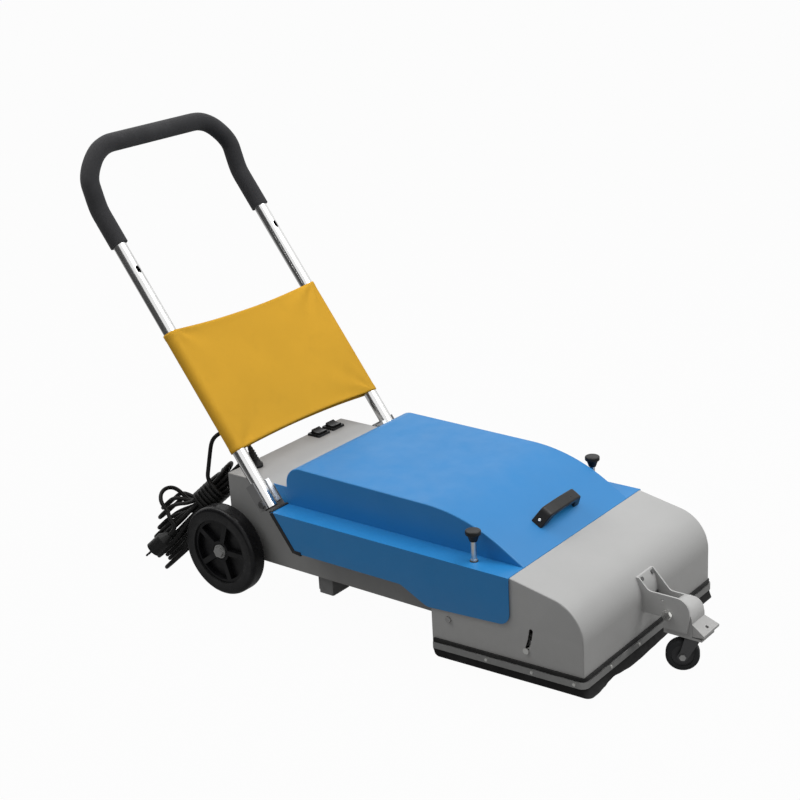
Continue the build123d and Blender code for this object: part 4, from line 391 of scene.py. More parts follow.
def woven(name, colour):
    """Coated woven cloth: crossing threads, slubs, faint soiled patches."""
    made = Finish(name, colour, 0.7, gleam=0.1)
    waves = []
    for direction in ("X", "Z"):
        wave = made.node("ShaderNodeTexWave", wave_type="BANDS", bands_direction=direction)
        wave.inputs["Scale"].default_value = 260
        wave.inputs["Distortion"].default_value = 0.6
        wave.inputs["Detail"].default_value = 1
        made.link(made.place, wave.inputs["Vector"])
        waves.append(wave.outputs["Fac"])
    weave = made.math("MULTIPLY", waves[0], waves[1])
    made.tint(made.ramp(weave, 0.0, 0.7, 0.3, 0), made.shade(0.72))
    made.tint(made.ramp(made.noise(5, 4), 0.45, 0.75, 0, 0.4), made.shade(1.12))
    made.tint(made.ramp(made.noise(24, 6), 0.55, 0.8, 0, 0.3), made.shade(0.78))
    made.bump(weave, 0.35, 0.0005)
    made.bump(made.noise(32, 3), 0.12, 0.003)
    return made.material


def dress(material, *nodes):
    """Puts a finish on solids that keep their shape."""
    for name in nodes:
        data = NODES[name].data
        data.materials.clear()
        data.materials.append(material)


def coat(obj, material, body):
    """Finishes a new piece and says which body carries it."""
    obj.data.materials.clear()
    obj.data.materials.append(material)
    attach(obj, body)
    return obj


# The cord: one spline from the boot, over the lead, round the waist and through the hank

HANK_UP = Vector((0.459, -0.597, 0.655)).normalized()
HANK_DEEP = Vector((0.187, -0.657, -0.729))
HANK_DEEP = (HANK_DEEP - HANK_UP * HANK_DEEP.dot(HANK_UP)).normalized()
HANK_SIDE = HANK_DEEP.cross(HANK_UP)
HANK_MIDDLE = at(-0.166, -0.112, 0.209)
LOOPS, LAYERS = 3, 4
PITCH, LAYER, FAN = 0.0118, 0.0106, 3.2
SPLAY, SPLAY_BACK, UNEVEN = (0.012, 0.011), 0.006, 0.006
WAIST, EYE, NECK = 0.009, 0.020, 0.036
TOP_TILT, PULLED_IN = 0.007, 0.016
TOPS = (0.046, 0.104, 0.058, 0.044)
LOWS = (0.103, 0.152, 0.176, 0.174)
WRAPS, WRAP_PITCH, WRAP_START = 5, 0.0108, -0.024
WRAP_TURN, WRAP_BEND, WRAP_CROSS = 0.022, 0.018, 0.015
WRAP_SLACK = (0, 0.003, 0.001, 0.004, 0.002, 0)
WRAP_TOP, WRAP_LOW = LAYERS * LAYER, -LAYER
WRAP_SIDE = WAIST + (LOOPS - 0.5) * PITCH
LEAVE_RADIUS, LEAVE_TURN = 0.048, math.radians(50)
LEAD_WAY = HANK_UP * math.sin(LEAVE_TURN) - HANK_DEEP * math.cos(LEAVE_TURN)
LEAD_LEAVE, LEAD_ARRIVE = 0.029, 0.021
LEAD_POINTS = ((0.013, 0.065), (0.026, 0.082), (0.045, 0.092), (0.066, 0.0935), (0.086, 0.0865))
LOOSE_LOW, LOOSE_DEEP, LOOSE_BEND = 0.127, 0.020, 0.018
LOOSE_OUT, LOOSE_RISE, LOOSE_ROUND = 0.053, 0.038, 0.034
PLUG_OFF = 0.025
PLUG_SIDE = EYE + (LOOPS - 0.5) * PITCH + PLUG_OFF
BOOT_KNEE = at(-0.144, 0.032, 0.297)
BOOT = at(-0.148, 0.019, 0.334)
BOOT_WAY = (BOOT - BOOT_KNEE).normalized()
BOOT_NECK, GLAND_TOP, RIB_FOOT = 0.0108, 0.0150, 0.0112
GLAND = ((BOOT_NECK, 0.0), (0.0155, 0.0), (0.0158, 0.004))  # radius and height
RIB = ((0.0, 0.0022), (0.0, 0.0052), (-0.0018, 0.0058), (-0.0018, 0.0082))
RIBS, RIB_PITCH, RIB_TAPER = 5, 0.0066, 0.0007
BOOT_MOUTH = ((0.0062, -0.0002), (0.0056, 0.0))


def in_hank(u, y, w):
    """Place in the hank's own frame: up the bundle, across its loops, through its layers."""
    return HANK_MIDDLE + HANK_UP * u + HANK_SIDE * y + HANK_DEEP * w


def turn(centre, radius, first, second, tilt=Vector()):
    """Four points that take a half turn from one way across to its opposite."""
    for k in range(4):
        a = HALF_CORNER * (2 * k + 1)
        reach = radius / math.cos(HALF_CORNER)
        spot = first * (reach * math.cos(a)) + second * (reach * math.sin(a))
        yield centre + spot + tilt * math.sin(a)


def ease(a, b, way):
    """Two points that lead from a to b, leaving and arriving along the way."""
    half = (b - a) / 2
    reach = half.length_squared / (2 * half.dot(way))
    return [a + way * reach, b - way * reach]


def waist(k, hand, layer):
    """Where a strand enters the waist from below."""
    return in_hank(WRAP_START, hand * (WAIST + k * PITCH), layer * LAYER)


def low_turn(k, layer):
    """How far down a low loop reaches and how deep it lies, each a little different."""
    middle = (LAYERS - 1) / 2
    deep = (middle + (layer - middle) * FAN) * LAYER
    splay = (k - 1) * SPLAY[0] if layer % 2 == 0 else (k - 1.5) * SPLAY[1]
    if layer == LAYERS - 1:
        splay -= SPLAY_BACK
    down = UNEVEN * (1 + math.sin(5.1 * layer + 3.7 * k)) - LOWS[layer]
    return down, deep + splay


def loose_end():
    """From the plug up beside the bundle, round in a loop and into the waist."""
    up, deep = HANK_UP, HANK_DEEP
    seat = in_hank(-LOOSE_LOW, PLUG_SIDE, LOOSE_DEEP)
    off = seat + up * CORD_D
    rise = off + (up - deep) * LOOSE_BEND
    fall = in_hank(WRAP_START - LOOSE_ROUND, WAIST, -LOOSE_RISE)
    over = fall + HANK_SIDE * LOOSE_OUT - up * (2 * LOOSE_BEND)
    across = (over - fall) / 2
    bend = LOOSE_BEND * math.tan(HALF_CORNER)
    points = [seat, off + up * bend, rise + deep * bend, *ease(rise, over, -deep)]
    points += turn(fall + across, across.length, across.normalized(), -deep)
    return points + [in_hank(WRAP_START - LOOSE_ROUND, WAIST, 0)]


def hank_loops():
    """Loops drawn in at the waist: out and in again through each pair of layers."""
    up, side = HANK_UP, HANK_SIDE
    places = [k / 2 for k in range(2 * LOOPS)]
    strands = []
    for base in range(0, LAYERS, 2):
        for k in places if base == 0 else places[1:]:
            strands.append((k, base + 1 if k == places[-1] else base, base))
        for k in reversed(places[:-1]):
            strands.append((k, base + 1, base + 2 if k == 0 else base + 1))
    points, eye = [], None
    for (k, low, top), following in zip(strands, strands[1:]):
        if k == int(k):
            half, other = WAIST + k * PITCH, WAIST + following[0] * PITCH
            if eye:
                points += ease(eye, waist(k, 1, top), up)
            points.append(in_hank(0, half, top * LAYER))
            points.append(in_hank(NECK, half, top * LAYER))
            reach = TOPS[top] - (PULLED_IN if (k, top) == (1, 1) else 0)
            middle = in_hank(reach, (half - other) / 2, top * LAYER)
            tilt = HANK_DEEP * ((top - (LAYERS - 1) / 2) * TOP_TILT)
            points += turn(middle, (half + other) / 2, side, up, tilt)
        else:
            half, other = EYE + k * PITCH, EYE + following[0] * PITCH
            down, deep = low_turn(k, low)
            points.append(in_hank(NECK, -WAIST - k * PITCH, top * LAYER))
            points.append(in_hank(0, -WAIST - k * PITCH, top * LAYER))
            points += ease(waist(k, -1, top), in_hank(down, -half, deep), -up)
            points += turn(in_hank(down, (other - half) / 2, deep), (half + other) / 2, -side, -up)
            eye = in_hank(down, other, deep)
    turn_in = in_hank(WRAP_START - WRAP_TURN, WAIST, WRAP_TOP)
    return points + ease(eye, turn_in, up) + [turn_in + up * WRAP_TURN]


def wraps():
    """Wraps round the waist, each a little slack in its own way, and off into the lead."""
    points, u = [], WRAP_START
    cut = WRAP_BEND * (1 - math.tan(HALF_CORNER))
    high, low = WRAP_TOP - cut, WRAP_LOW + cut
    for wrap in range(WRAPS + 1):
        edge = WRAP_SIDE + WRAP_BEND + WRAP_SLACK[wrap]
        points += [in_hank(u, edge - cut, WRAP_TOP), in_hank(u, edge, high)]
        if wrap == WRAPS:
            break
        points += [in_hank(u, edge, low), in_hank(u, edge - cut, WRAP_LOW)]
        points.append(in_hank(u, WRAP_CROSS, WRAP_LOW))
        u += WRAP_PITCH
        points.append(in_hank(u, -WRAP_CROSS, WRAP_LOW))
        points += [in_hank(u, cut - edge, WRAP_LOW), in_hank(u, -edge, low)]
        points += [in_hank(u, -edge, high), in_hank(u, cut - edge, WRAP_TOP)]
        points += [in_hank(u, -WRAP_CROSS, WRAP_TOP), in_hank(u, WRAP_CROSS, WRAP_TOP)]
    turn_up = in_hank(u, edge, WRAP_LOW + WRAP_BEND)
    points.append(turn_up - HANK_DEEP * (LEAVE_RADIUS * math.tan(LEAVE_TURN / 2)))
    swing = HANK_UP * (1 - math.cos(LEAVE_TURN)) - HANK_DEEP * math.sin(LEAVE_TURN)
    return points, turn_up + swing * LEAVE_RADIUS + LEAD_WAY * CORD_D


class CLEANER_OT_cord(bpy.types.Operator):
    """Mains cord: boot, lead from the deck, wraps, hank and plug"""

    bl_idname = "cleaner.cord"
    bl_label = "Mains cord"

    def execute(self, context):
        bound, start = wraps()
        out = Vector((BOOT.x - start.x, BOOT.y - start.y, 0)).normalized()
        lead = [start, start + LEAD_WAY * LEAD_LEAVE]
        lead += [start + out * along + Vector((0, 0, rise)) for along, rise in LEAD_POINTS]
        lead += [BOOT + BOOT_WAY * LEAD_ARRIVE, BOOT]
        cord = nurbs("mains_cord", (loose_end() + hank_loops() + bound + lead)[::-1], CORD_D / 2)
        sheath = rubber("cord sheath", (0.012, 0.012, 0.012), 0.42, 700)
        coat(cord, sheath, "chassis")
        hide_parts("cord_lead", "cord_hank")
        dress(plastic("plug moulding", (0.013, 0.013, 0.013), 0.4), "cord_plug")
        self.boot()
        return {"FINISHED"}

    def boot(self):
        """The cord's boot: a gland nut on the deck and a ribbed sleeve drawn over by the lead."""
        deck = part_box("control_deck")[1].z
        knee = BOOT_KNEE.z - deck
        outline = [(BOOT_NECK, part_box("cord_boot")[0].z - deck), *GLAND]
        outline += [(GLAND_TOP, knee), (RIB_FOOT, knee)]
        for rib in range(RIBS):
            r, h = BOOT_NECK - RIB_TAPER * rib, knee + RIB_PITCH * rib
            outline += [(r + out, h + up) for out, up in RIB]
        tip = knee + (BOOT - BOOT_KNEE).length
        outline += [(r, tip + up) for r, up in BOOT_MOUTH]
        origin = Vector((BOOT_KNEE.x, BOOT_KNEE.y, deck))
        boot = lathe("cord_boot_ribbed", outline, origin, BOOT_WAY, knee)
        coat(boot, plastic("boot moulding", (0.016, 0.016, 0.016), 0.45), "chassis")
        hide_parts("cord_boot")


# The cloth sleeve, a little askew on its rails

SLEEVE_FLAT = (1.07, 0.316)
SLEEVE_FOOT, SLEEVE_HEAD, FOOT_DIP = 0.1325, 0.4485, 0.8
SLEEVE_SLIP, SLEEVE_SKEW = 0.0008, 0.0043
SLEEVE_WRAP, SLEEVE_DRAW = 0.0180, 0.0045  # off a rail's axis, and drawn in halfway across
PULLS, PULL_REACH, PULL_START, RIPPLE = 7, 0.13, 0.03, 0.35
HEM, HEM_LIFT, CLOTH = 0.04275, 0.0006, 0.0011
STITCHES, STITCH_ROWS, STITCH_LIFT, STITCH_RISE = 250, (0.040, 0.960), 0.0008, 0.003
STITCH_WIDTHS = ((0.0, 0.0002), (0.25, 0.0005), (0.75, 0.0005), (1.0, 0.0002))
STITCH_SECTION = ((-1, -0.4), (1, -0.4), (1, 1), (-1, 1))


def sleeve_point(s, t, dip, fold):
    """Place on the sleeve: s goes once round the flattened tube, t from its foot to its head."""
    straight, bend = 2 * RAIL_X, math.pi * SLEEVE_WRAP
    d = s * (2 * (straight + bend))
    if d < straight:
        x, out, layer = -RAIL_X + d, Vector((1, 0)), 1
    elif d < straight + bend:
        a = (d - straight) / SLEEVE_WRAP
        x, out, layer = RAIL_X, Vector((math.cos(a), math.sin(a))), 0
    elif d < 2 * straight + bend:
        x, out, layer = RAIL_X - (d - straight - bend), Vector((-1, 0)), -1
    else:
        a = (d - 2 * straight - bend) / SLEEVE_WRAP
        x, out, layer = -RAIL_X, Vector((-math.cos(a), -math.sin(a))), 0
    across, sideways = SLEEVE_WRAP * out.x, SLEEVE_WRAP * out.y
    free = 1 - (x / RAIL_X) ** 2
    foot, head = SLEEVE_FOOT + dip * FOOT_DIP * free, SLEEVE_HEAD - dip * free
    along = foot + (head - foot) * t - SLEEVE_SLIP - SLEEVE_SKEW * x / RAIL_X
    if layer:
        across -= layer * SLEEVE_DRAW * free ** 0.7
        for side in (-1, 1):
            for end in (0, 1):
                reach = Vector((x - side * RAIL_X, (t - end) * SLEEVE_FLAT[1]))
                way = math.atan2(abs(reach.y), abs(reach.x) + 1e-6)
                fade = math.exp(-reach.length / PULL_REACH) * min(1, reach.length / PULL_START)
                ridge = math.cos(way * (PULLS + side) + 1.3 * side + 0.8 * end + layer)
                across += layer * fold * fade * ridge
        across += layer * fold * RIPPLE * math.sin(31 * x + 9 * t) * free
    scale = 1 + (HEM_LIFT if min(t, 1 - t) < HEM else 0.0) / SLEEVE_WRAP
    return on_rail(along, across * scale, x + sideways * scale)


class CLEANER_OT_sleeve(bpy.types.Operator):
    """Cloth sleeve stretched over both rails, with hemmed and stitched edges"""

    bl_idname = "cleaner.sleeve"
    bl_label = "Cloth sleeve"

    def execute(self, context):
        soft, paint = context.scene.cleaner_soft, context.scene.cleaner_paint
        around, rows = 200, 64
        shape = (soft.sleeve_dip, soft.sleeve_fold)
        verts = [
            sleeve_point(i / around, j / rows, *shape)
            for j in range(rows + 1)
            for i in range(around)
        ]
        faces = []
        for j in range(rows):
            for i in range(around):
                n = (i + 1) % around
                a, b = j * around, (j + 1) * around
                faces.append((a + i, a + n, b + n, b + i))
        sleeve = new_mesh("cloth_sleeve_sewn", verts, faces)
        thick = sleeve.modifiers.new("cloth", "SOLIDIFY")
        thick.thickness = CLOTH
        thick.offset = 0
        coat(sleeve, woven("yellow cloth", paint.cloth_yellow), "handle")
        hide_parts("cloth_sleeve")
        stitches = self.stitches(shape)
        thread = Finish("sewing thread", tuple(c * 0.8 for c in paint.cloth_yellow), 0.7)
        thread.bump(thread.noise(2400, 2), 0.4, 0.0002)
        thread.tint(thread.ramp(thread.noise(300, 3), 0.4, 0.7, 0, 0.5), thread.shade(1.3))
        coat(stitches, thread.material, "handle")
        return {"FINISHED"}

    def stitches(self, shape):
        """Short raised stitches along both hems, all the way round."""
        verts, faces = [], []
        for row in STITCH_ROWS:
            for k in range(STITCHES):
                a = sleeve_point((k + 0.2) / STITCHES, row, *shape)
                b = sleeve_point((k + 0.8) / STITCHES, row, *shape)
                c = sleeve_point((k + 0.5) / STITCHES, row + STITCH_RISE, *shape)
                run = (b - a).normalized()
                rise = (c - (a + b) / 2).normalized()
                out = rise.cross(run)
                rows = []
                for part, wide in STITCH_WIDTHS:
                    middle = a + (b - a) * part
                    rows.append([
                        middle + rise * (wide * side) + out * (STITCH_LIFT + wide * lift)
                        for side, lift in STITCH_SECTION
                    ])
                loft(rows, verts, faces)
        return new_mesh("sleeve_stitches", verts, faces)


# The foam grip

GRIP_LEFT, GRIP_RIGHT, GRIP_RADIUS = 0.691, 0.679, 0.0222
GRIP_BEND, GRIP_RISE, GRIP_CORNER = 0.788, 0.143, 0.105
START_RUN, BEND_FAR, BEND_NEAR, BEND_AFTER = 0.004, 0.034, 0.006, 0.014
CORNER_NEAR, BAR_REACH = 0.008, 0.2


class CLEANER_OT_grip(bpy.types.Operator):
    """Foam grip over the bend and the top bar of the handle"""

    bl_idname = "cleaner.grip"
    bl_label = "Foam grip"

    def execute(self, context):
        left, right = self.side(-1, GRIP_LEFT), self.side(1, GRIP_RIGHT)
        line = nurbs("grip_line", left + right[::-1], GRIP_RADIUS, resolution=10, bevel=8)
        made = line.evaluated_get(context.evaluated_depsgraph_get())
        mesh = bpy.data.meshes.new_from_object(made)
        bpy.data.objects.remove(line)
        mesh.name = "grip_foam_sleeve"
        mesh.polygons.foreach_set("use_smooth", [True] * len(mesh.polygons))
        grip = bpy.data.objects.new("grip_foam_sleeve", mesh)
        context.scene.collection.objects.link(grip)
        coat(grip, foam("grip foam"), "handle")
        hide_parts("grip_foam")
        return {"FINISHED"}

    def side(self, hand, foot):
        """The grip's line on one side, from that far up the rail to the middle of the top bar."""
        rise = Vector((0, math.sin(GRIP_LEAN), math.cos(GRIP_LEAN)))
        inward = Vector((-hand, 0, 0))
        bend = on_rail(GRIP_BEND, 0, hand * RAIL_X)
        start = on_rail(foot, 0, hand * RAIL_X)
        rail = (bend - start).normalized()
        top = bend + rise * GRIP_RISE
        cut = GRIP_CORNER * math.tan(HALF_CORNER)
        begin, end = top - rise * GRIP_CORNER, top + inward * GRIP_CORNER
        return [
            start,
            start + rail * START_RUN,
            bend - rail * BEND_FAR,
            bend - rail * BEND_NEAR,
            bend + rise * BEND_AFTER,
            begin - rise * CORNER_NEAR,
            begin + rise * cut,
            end - inward * cut,
            end + inward * cut,
            top + inward * BAR_REACH,
        ]


# The brush

BRUSH_ROWS, TUFT_SIDES = 10, 6
TUFT_ROOT, TUFT_MIDDLE, TUFT_TIP = (0.0305, 0.0022), (0.045, 0.0027), 0.0034
TUFT_FLAT, TUFT_STRAY, TUFT_WORN = 0.8, 0.012, (0.0002, 0.0016)


class CLEANER_OT_brush(bpy.types.Operator):
    """Rows of bristle tufts on the brush core"""

    bl_idname = "cleaner.brush"
    bl_label = "Brush tufts"

    def execute(self, context):
        random.seed(4)
        axle = Vector(JOINTS["brush_spin"]["pos_m"])
        low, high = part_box("brush_bristles")
        reach = (high.y - low.y) / 2
        verts, faces = [], []
        count = context.scene.cleaner_soft.tufts
        across = Vector((1, 0, 0))
        ring = [2 * math.pi * q / TUFT_SIDES for q in range(TUFT_SIDES)]
        for row in range(BRUSH_ROWS):
            for k in range(count):
                foot = Vector((low.x + (high.x - low.x) * (k + 0.5) / count, axle.y, axle.z))
                a = 2 * math.pi * row / BRUSH_ROWS + random.uniform(-TUFT_STRAY, TUFT_STRAY)
                out = Vector((0, -math.cos(a), math.sin(a)))
                other = out.cross(across) * TUFT_FLAT
                tip = reach - random.uniform(*TUFT_WORN)
                rows = []
                for r, wide in (TUFT_ROOT, TUFT_MIDDLE, (tip, TUFT_TIP)):
                    spots = [across * math.cos(b) + other * math.sin(b) for b in ring]
                    rows.append([foot + out * r + spot * wide for spot in spots])
                loft(rows, verts, faces)
        tufts = new_mesh("brush_tufts", verts, faces)
        nylon = Finish("bristle nylon", (0.05, 0.055, 0.065), 0.5)
        nylon.tint(nylon.ramp(nylon.noise(700, 2), 0.4, 0.7, 0, 0.6), (0.11, 0.12, 0.14))
        nylon.bump(nylon.noise(1500, 2, 0.5, (1, 0.1, 0.1)), 0.5, 0.0005)
        coat(tufts, nylon.material, "brush")
        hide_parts("brush_bristles")
        return {"FINISHED"}


# The rubber skirt round the foot of the head, with a lip that is flexed along the front

SKIRT_TALL, SKIRT_LIP, SKIRT_THICK = 0.042, 0.0225, 0.0049
SKIRT_CORNER, HEAD_CORNER, SKIRT_HEEL = 0.014, 0.0031, 0.014
HEEL_STEPS, SIDE_STEPS, CORNER_STEPS, FRONT_STEPS = 6, 24, 12, 72
LIP_STEPS, LIP_CURVE, LIP_FADE = 6, 1.6, 0.02
LIP_FLEX = (  # share of the front, and push forward
    (0.0, 0.0125), (0.06, 0.0125), (0.11, 0.0095), (0.16, 0.005), (0.2, 0.003), (0.25, 0.008),
    (0.3, 0.012), (0.37, 0.012), (0.48, 0.0095), (0.56, 0.0075), (0.65, 0.005), (0.8, 0.0045),
    (0.92, 0.006), (1.0, 0.006),
)


def lip_flex(share):
    """How far forward the lip is pushed at that share of the front, from the left."""
    for (a, low), (b, high) in zip(LIP_FLEX, LIP_FLEX[1:]):
        if share <= b:
            part = (1 - math.cos(math.pi * max(0.0, share - a) / (b - a))) / 2
            return low + (high - low) * part
    return LIP_FLEX[-1][1]


class CLEANER_OT_skirt(bpy.types.Operator):
    """Rubber skirt round the foot of the brush head, its lip flexed along the front"""

    bl_idname = "cleaner.skirt"
    bl_label = "Rubber skirt"

    def execute(self, context):
        low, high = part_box("skirt_rubber")
        rear_fall = high.z - SKIRT_TALL - low.z
        ahead, rows = Vector((0, -1, 0)), []
        for outer, inner in self.stations(high.x, low.y, high.y):
            run = outer.y - low.y
            top = high.z - rear_fall * run / (high.y - low.y)
            heel = max(0.0, SKIRT_HEEL - (high.y - outer.y))
            foot = top - SKIRT_TALL + SKIRT_HEEL - math.sqrt(SKIRT_HEEL ** 2 - heel ** 2)
            flex = lip_flex((outer.x + high.x) / (2 * high.x))
            flex *= math.exp(-max(0.0, run - SKIRT_CORNER) / LIP_FADE)
            drop = foot - top + SKIRT_LIP
            levels = [(0.0, top)]
            for k in range(LIP_STEPS + 1):
                levels.append((k / LIP_STEPS, top - SKIRT_LIP + drop * k / LIP_STEPS))
            section = [(outer, *level) for level in levels]
            section += [(inner, *level) for level in reversed(levels)]
            rows.append([
                line + ahead * (flex * share ** LIP_CURVE) + Vector((0, 0, z))
                for line, share, z in section
            ])
        verts, faces = [], []
        loft(rows, verts, faces)
        skirt = new_mesh("skirt_flexed", verts, faces)
        skirt.data.set_sharp_from_angle(angle=math.radians(40))
        coat(skirt, rubber("skirt rubber", (0.009, 0.009, 0.009), 0.55), "chassis")
        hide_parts("skirt_rubber")
        return {"FINISHED"}

    def stations(self, half, front, rear):
        """Outer and inner places in plan, from the left rear round to the right rear."""
        corner, heel = front + SKIRT_CORNER, rear - SKIRT_HEEL
        along = [rear - SKIRT_HEEL * k / HEEL_STEPS for k in range(HEEL_STEPS + 1)]
        along += [heel + (corner - heel) * k / SIDE_STEPS for k in range(1, SIDE_STEPS)]
        places = [(Vector((-half, y, 0)), Vector((SKIRT_THICK - half, y, 0))) for y in along]
        near = Vector((SKIRT_CORNER - half, corner, 0))
        inset = SKIRT_THICK + HEAD_CORNER
        within = Vector((inset - half, front + inset, 0))
        for k in range(CORNER_STEPS + 1):
            a = math.radians(180 + 90 * k / CORNER_STEPS)
            out = Vector((math.cos(a), math.sin(a), 0))
            places.append((near + out * SKIRT_CORNER, within + out * HEAD_CORNER))
        left, width = SKIRT_CORNER - half, 2 * (half - SKIRT_CORNER)
        across = [left + width * k / FRONT_STEPS for k in range(1, FRONT_STEPS)]
        middle = [(Vector((x, front, 0)), Vector((x, front + SKIRT_THICK, 0))) for x in across]
        mirror = Matrix.Diagonal((-1, 1, 1))
        right = [tuple(mirror @ v for v in place) for place in reversed(places)]
        return places + middle + right


# Trim: edging on the hood, partly painted gap shade, and screws in the pull handle

# The side edging is wider than the rubber edging alone: part of the black strip is painted shade,
# standing in for the shaded gap between the hood's flange and the body.
EDGING = (  # outwards from the edge, and across it
    (-0.0050, -0.0022), (0.0040, -0.0028), (0.0050, 0.0), (0.0040, 0.0028), (-0.0050, 0.0022),
)
EDGING_LINE = (  # forward of the rear wall, and up
    (0.1865, 0.2500),
    (0.187 + 0.082 * math.tan(LEAN), 0.168),
    (0.207 + 0.0835 * math.tan(LEAN), 0.1665),
)
SHOULDER = (  # forward of the rear wall, and up
    (0.1800, 0.2490), (0.1800, 0.2520), (0.1820, 0.2542), (0.1880, 0.2542), (0.1880, 0.2490),
)
EDGING_IN, SHOULDER_FROM, SHOULDER_TO = 0.001, 0.001, 0.0005
PULL_SLOPE, PULL_END, PULL_RISE = math.radians(31), (0.0727, 0.778, 0.2856), 0.012
SCREW_WAY, SCREW_SUNK = (0.9, 0.437), 0.0004
SCREW = (  # radius and height
    (0.0034, 0.0001), (0.0034, 0.0014), (0.0028, 0.0022),
    (0.0017, 0.0022), (0.0015, 0.0011), (0.0002, 0.0011),
)


class CLEANER_OT_trim(bpy.types.Operator):
    """Black edging on the hood's side skirts and shoulders, the side edging wide enough to be
    painted shade for the gap behind it too, and screws in the pull handle
    """

    bl_idname = "cleaner.trim"
    bl_label = "Edging and screws"

    def execute(self, context):
        black = rubber("edging rubber and painted gap shade", (0.014, 0.014, 0.014), 0.5)
        zinc = metal("screw zinc", (0.8, 0.8, 0.78), 0.25)
        for hand, word in ((-1, "left"), (1, "right")):
            self.strip(f"hood_edging_{word}", self.side_edge(hand), black)
            self.strip(f"shoulder_edging_{word}", self.shoulder_edge(hand), black)
            self.screw(hand, word, zinc)
        return {"FINISHED"}

    def side_edge(self, hand):
        """Edging down the slanted rear edge of a side skirt and a little way along its foot, drawn
        wide so that it is also painted shade for the dark gap between the hood's flange and the
        body.
        """
        edge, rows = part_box("hood")[1].x - EDGING_IN, []
        for i, (f, z) in enumerate(EDGING_LINE):
            a, b = EDGING_LINE[max(0, i - 1)], EDGING_LINE[min(2, i + 1)]
            way = Vector((b[0] - a[0], b[1] - a[1])).normalized()
            rows.append([at(hand * (edge + q), f + way.y * p, z - way.x * p) for p, q in EDGING])
        return rows

    def shoulder_edge(self, hand):
        """Edging across the rear edge of a shoulder of the hood."""
        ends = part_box("body_tub")[1].x + SHOULDER_FROM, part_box("hood")[1].x - SHOULDER_TO
        return [[at(hand * x, f, z) for f, z in SHOULDER] for x in ends]

    def strip(self, name, rows, black):
        verts, faces = [], []
        loft(rows, verts, faces)
        coat(new_mesh(name, verts, faces, False), black, "chassis")

    def screw(self, hand, word, zinc):
        """A socket screw in the sloped end of the pull handle."""
        rise = Vector((0, -math.sin(PULL_SLOPE), math.cos(PULL_SLOPE)))
        way = Vector((hand * SCREW_WAY[0], 0, 0)) + rise * SCREW_WAY[1]
        x, f, z = PULL_END
        seat = at(hand * x, f, z) + rise * PULL_RISE - way * SCREW_SUNK
        screw = lathe(f"pull_screw_{word}", SCREW, seat, way.normalized(), segments=20)
        coat(screw, zinc, "chassis")


# Finishes on the solids that keep their shape

# TUB_PAINTED_SHADE darkens the body grey for the tub: painted shade, the same paint as the deck
# drawn darker where the tub's sides lie in shade.
TUB_PAINTED_SHADE, GREY_RIPPLE = 0.73, 1.5
RUBBERS = (
    ("foot rubber", (0.28, 0.28, 0.28), 0.6, ("foot_pads", "rest_feet")),
    ("caster rubber", (0.03, 0.031, 0.033), 0.55, ("caster_tyre",)),
    ("belt rubber", (0.015, 0.015, 0.015), 0.7, ("drive_belt", "brush_belt")),
)
PLASTICS = (
    ("hub moulding", (0.006, 0.006, 0.007), 0.36, ("hub_left", "hub_right")),
    ("caster hub", (0.06, 0.06, 0.062), 0.4, ("caster_hub",)),
    (
        "black moulding", (0.013, 0.013, 0.013), 0.36,
        ("pull_handle", "knob_left", "knob_right", "switch_frames", "rail_plugs"),
    ),
    ("rocker moulding", (0.011, 0.011, 0.011), 0.25, ("rocker_inner", "rocker_outer")),
    ("duct moulding", (0.05, 0.05, 0.052), 0.5, ("suction_duct", "dust_box")),
    ("core moulding", (0.16, 0.16, 0.15), 0.5, ("brush_core",)),
)
METALS = (
    ("hinge plating", (0.7, 0.71, 0.72), 0.5, ("hinge_block_left", "hinge_block_right")),
    (
        "zinc plating", (0.62, 0.62, 0.6), 0.3,
        ("skirt_screws", "guide_bolts", "adjuster_screw_left", "adjuster_screw_right"),
    ),
    ("dulled zinc", (0.36, 0.36, 0.355), 0.42, ("axle_nuts", "bearing_bolts", "caster_axle")),
    ("blackened bolts", (0.13, 0.13, 0.13), 0.5, ("pivot_bolts", "bracket_screws")),
    ("bright zinc", (0.86, 0.86, 0.84), 0.2, ("lever_bolt",)),
    ("fork steel", (0.09, 0.09, 0.092), 0.45, ("caster_fork",)),
    ("bush bronze", (0.16, 0.11, 0.06), 0.4, ("adjuster_bushes",)),
    ("cast casing", (0.4, 0.4, 0.4), 0.5, ("brush_motor", "vacuum_motor")),
)
STEEL_NODES = (
    "rear_axle", "axle_blocks", "bearing_plates", "jackshaft", "motor_pulley", "brush_carriage",
)


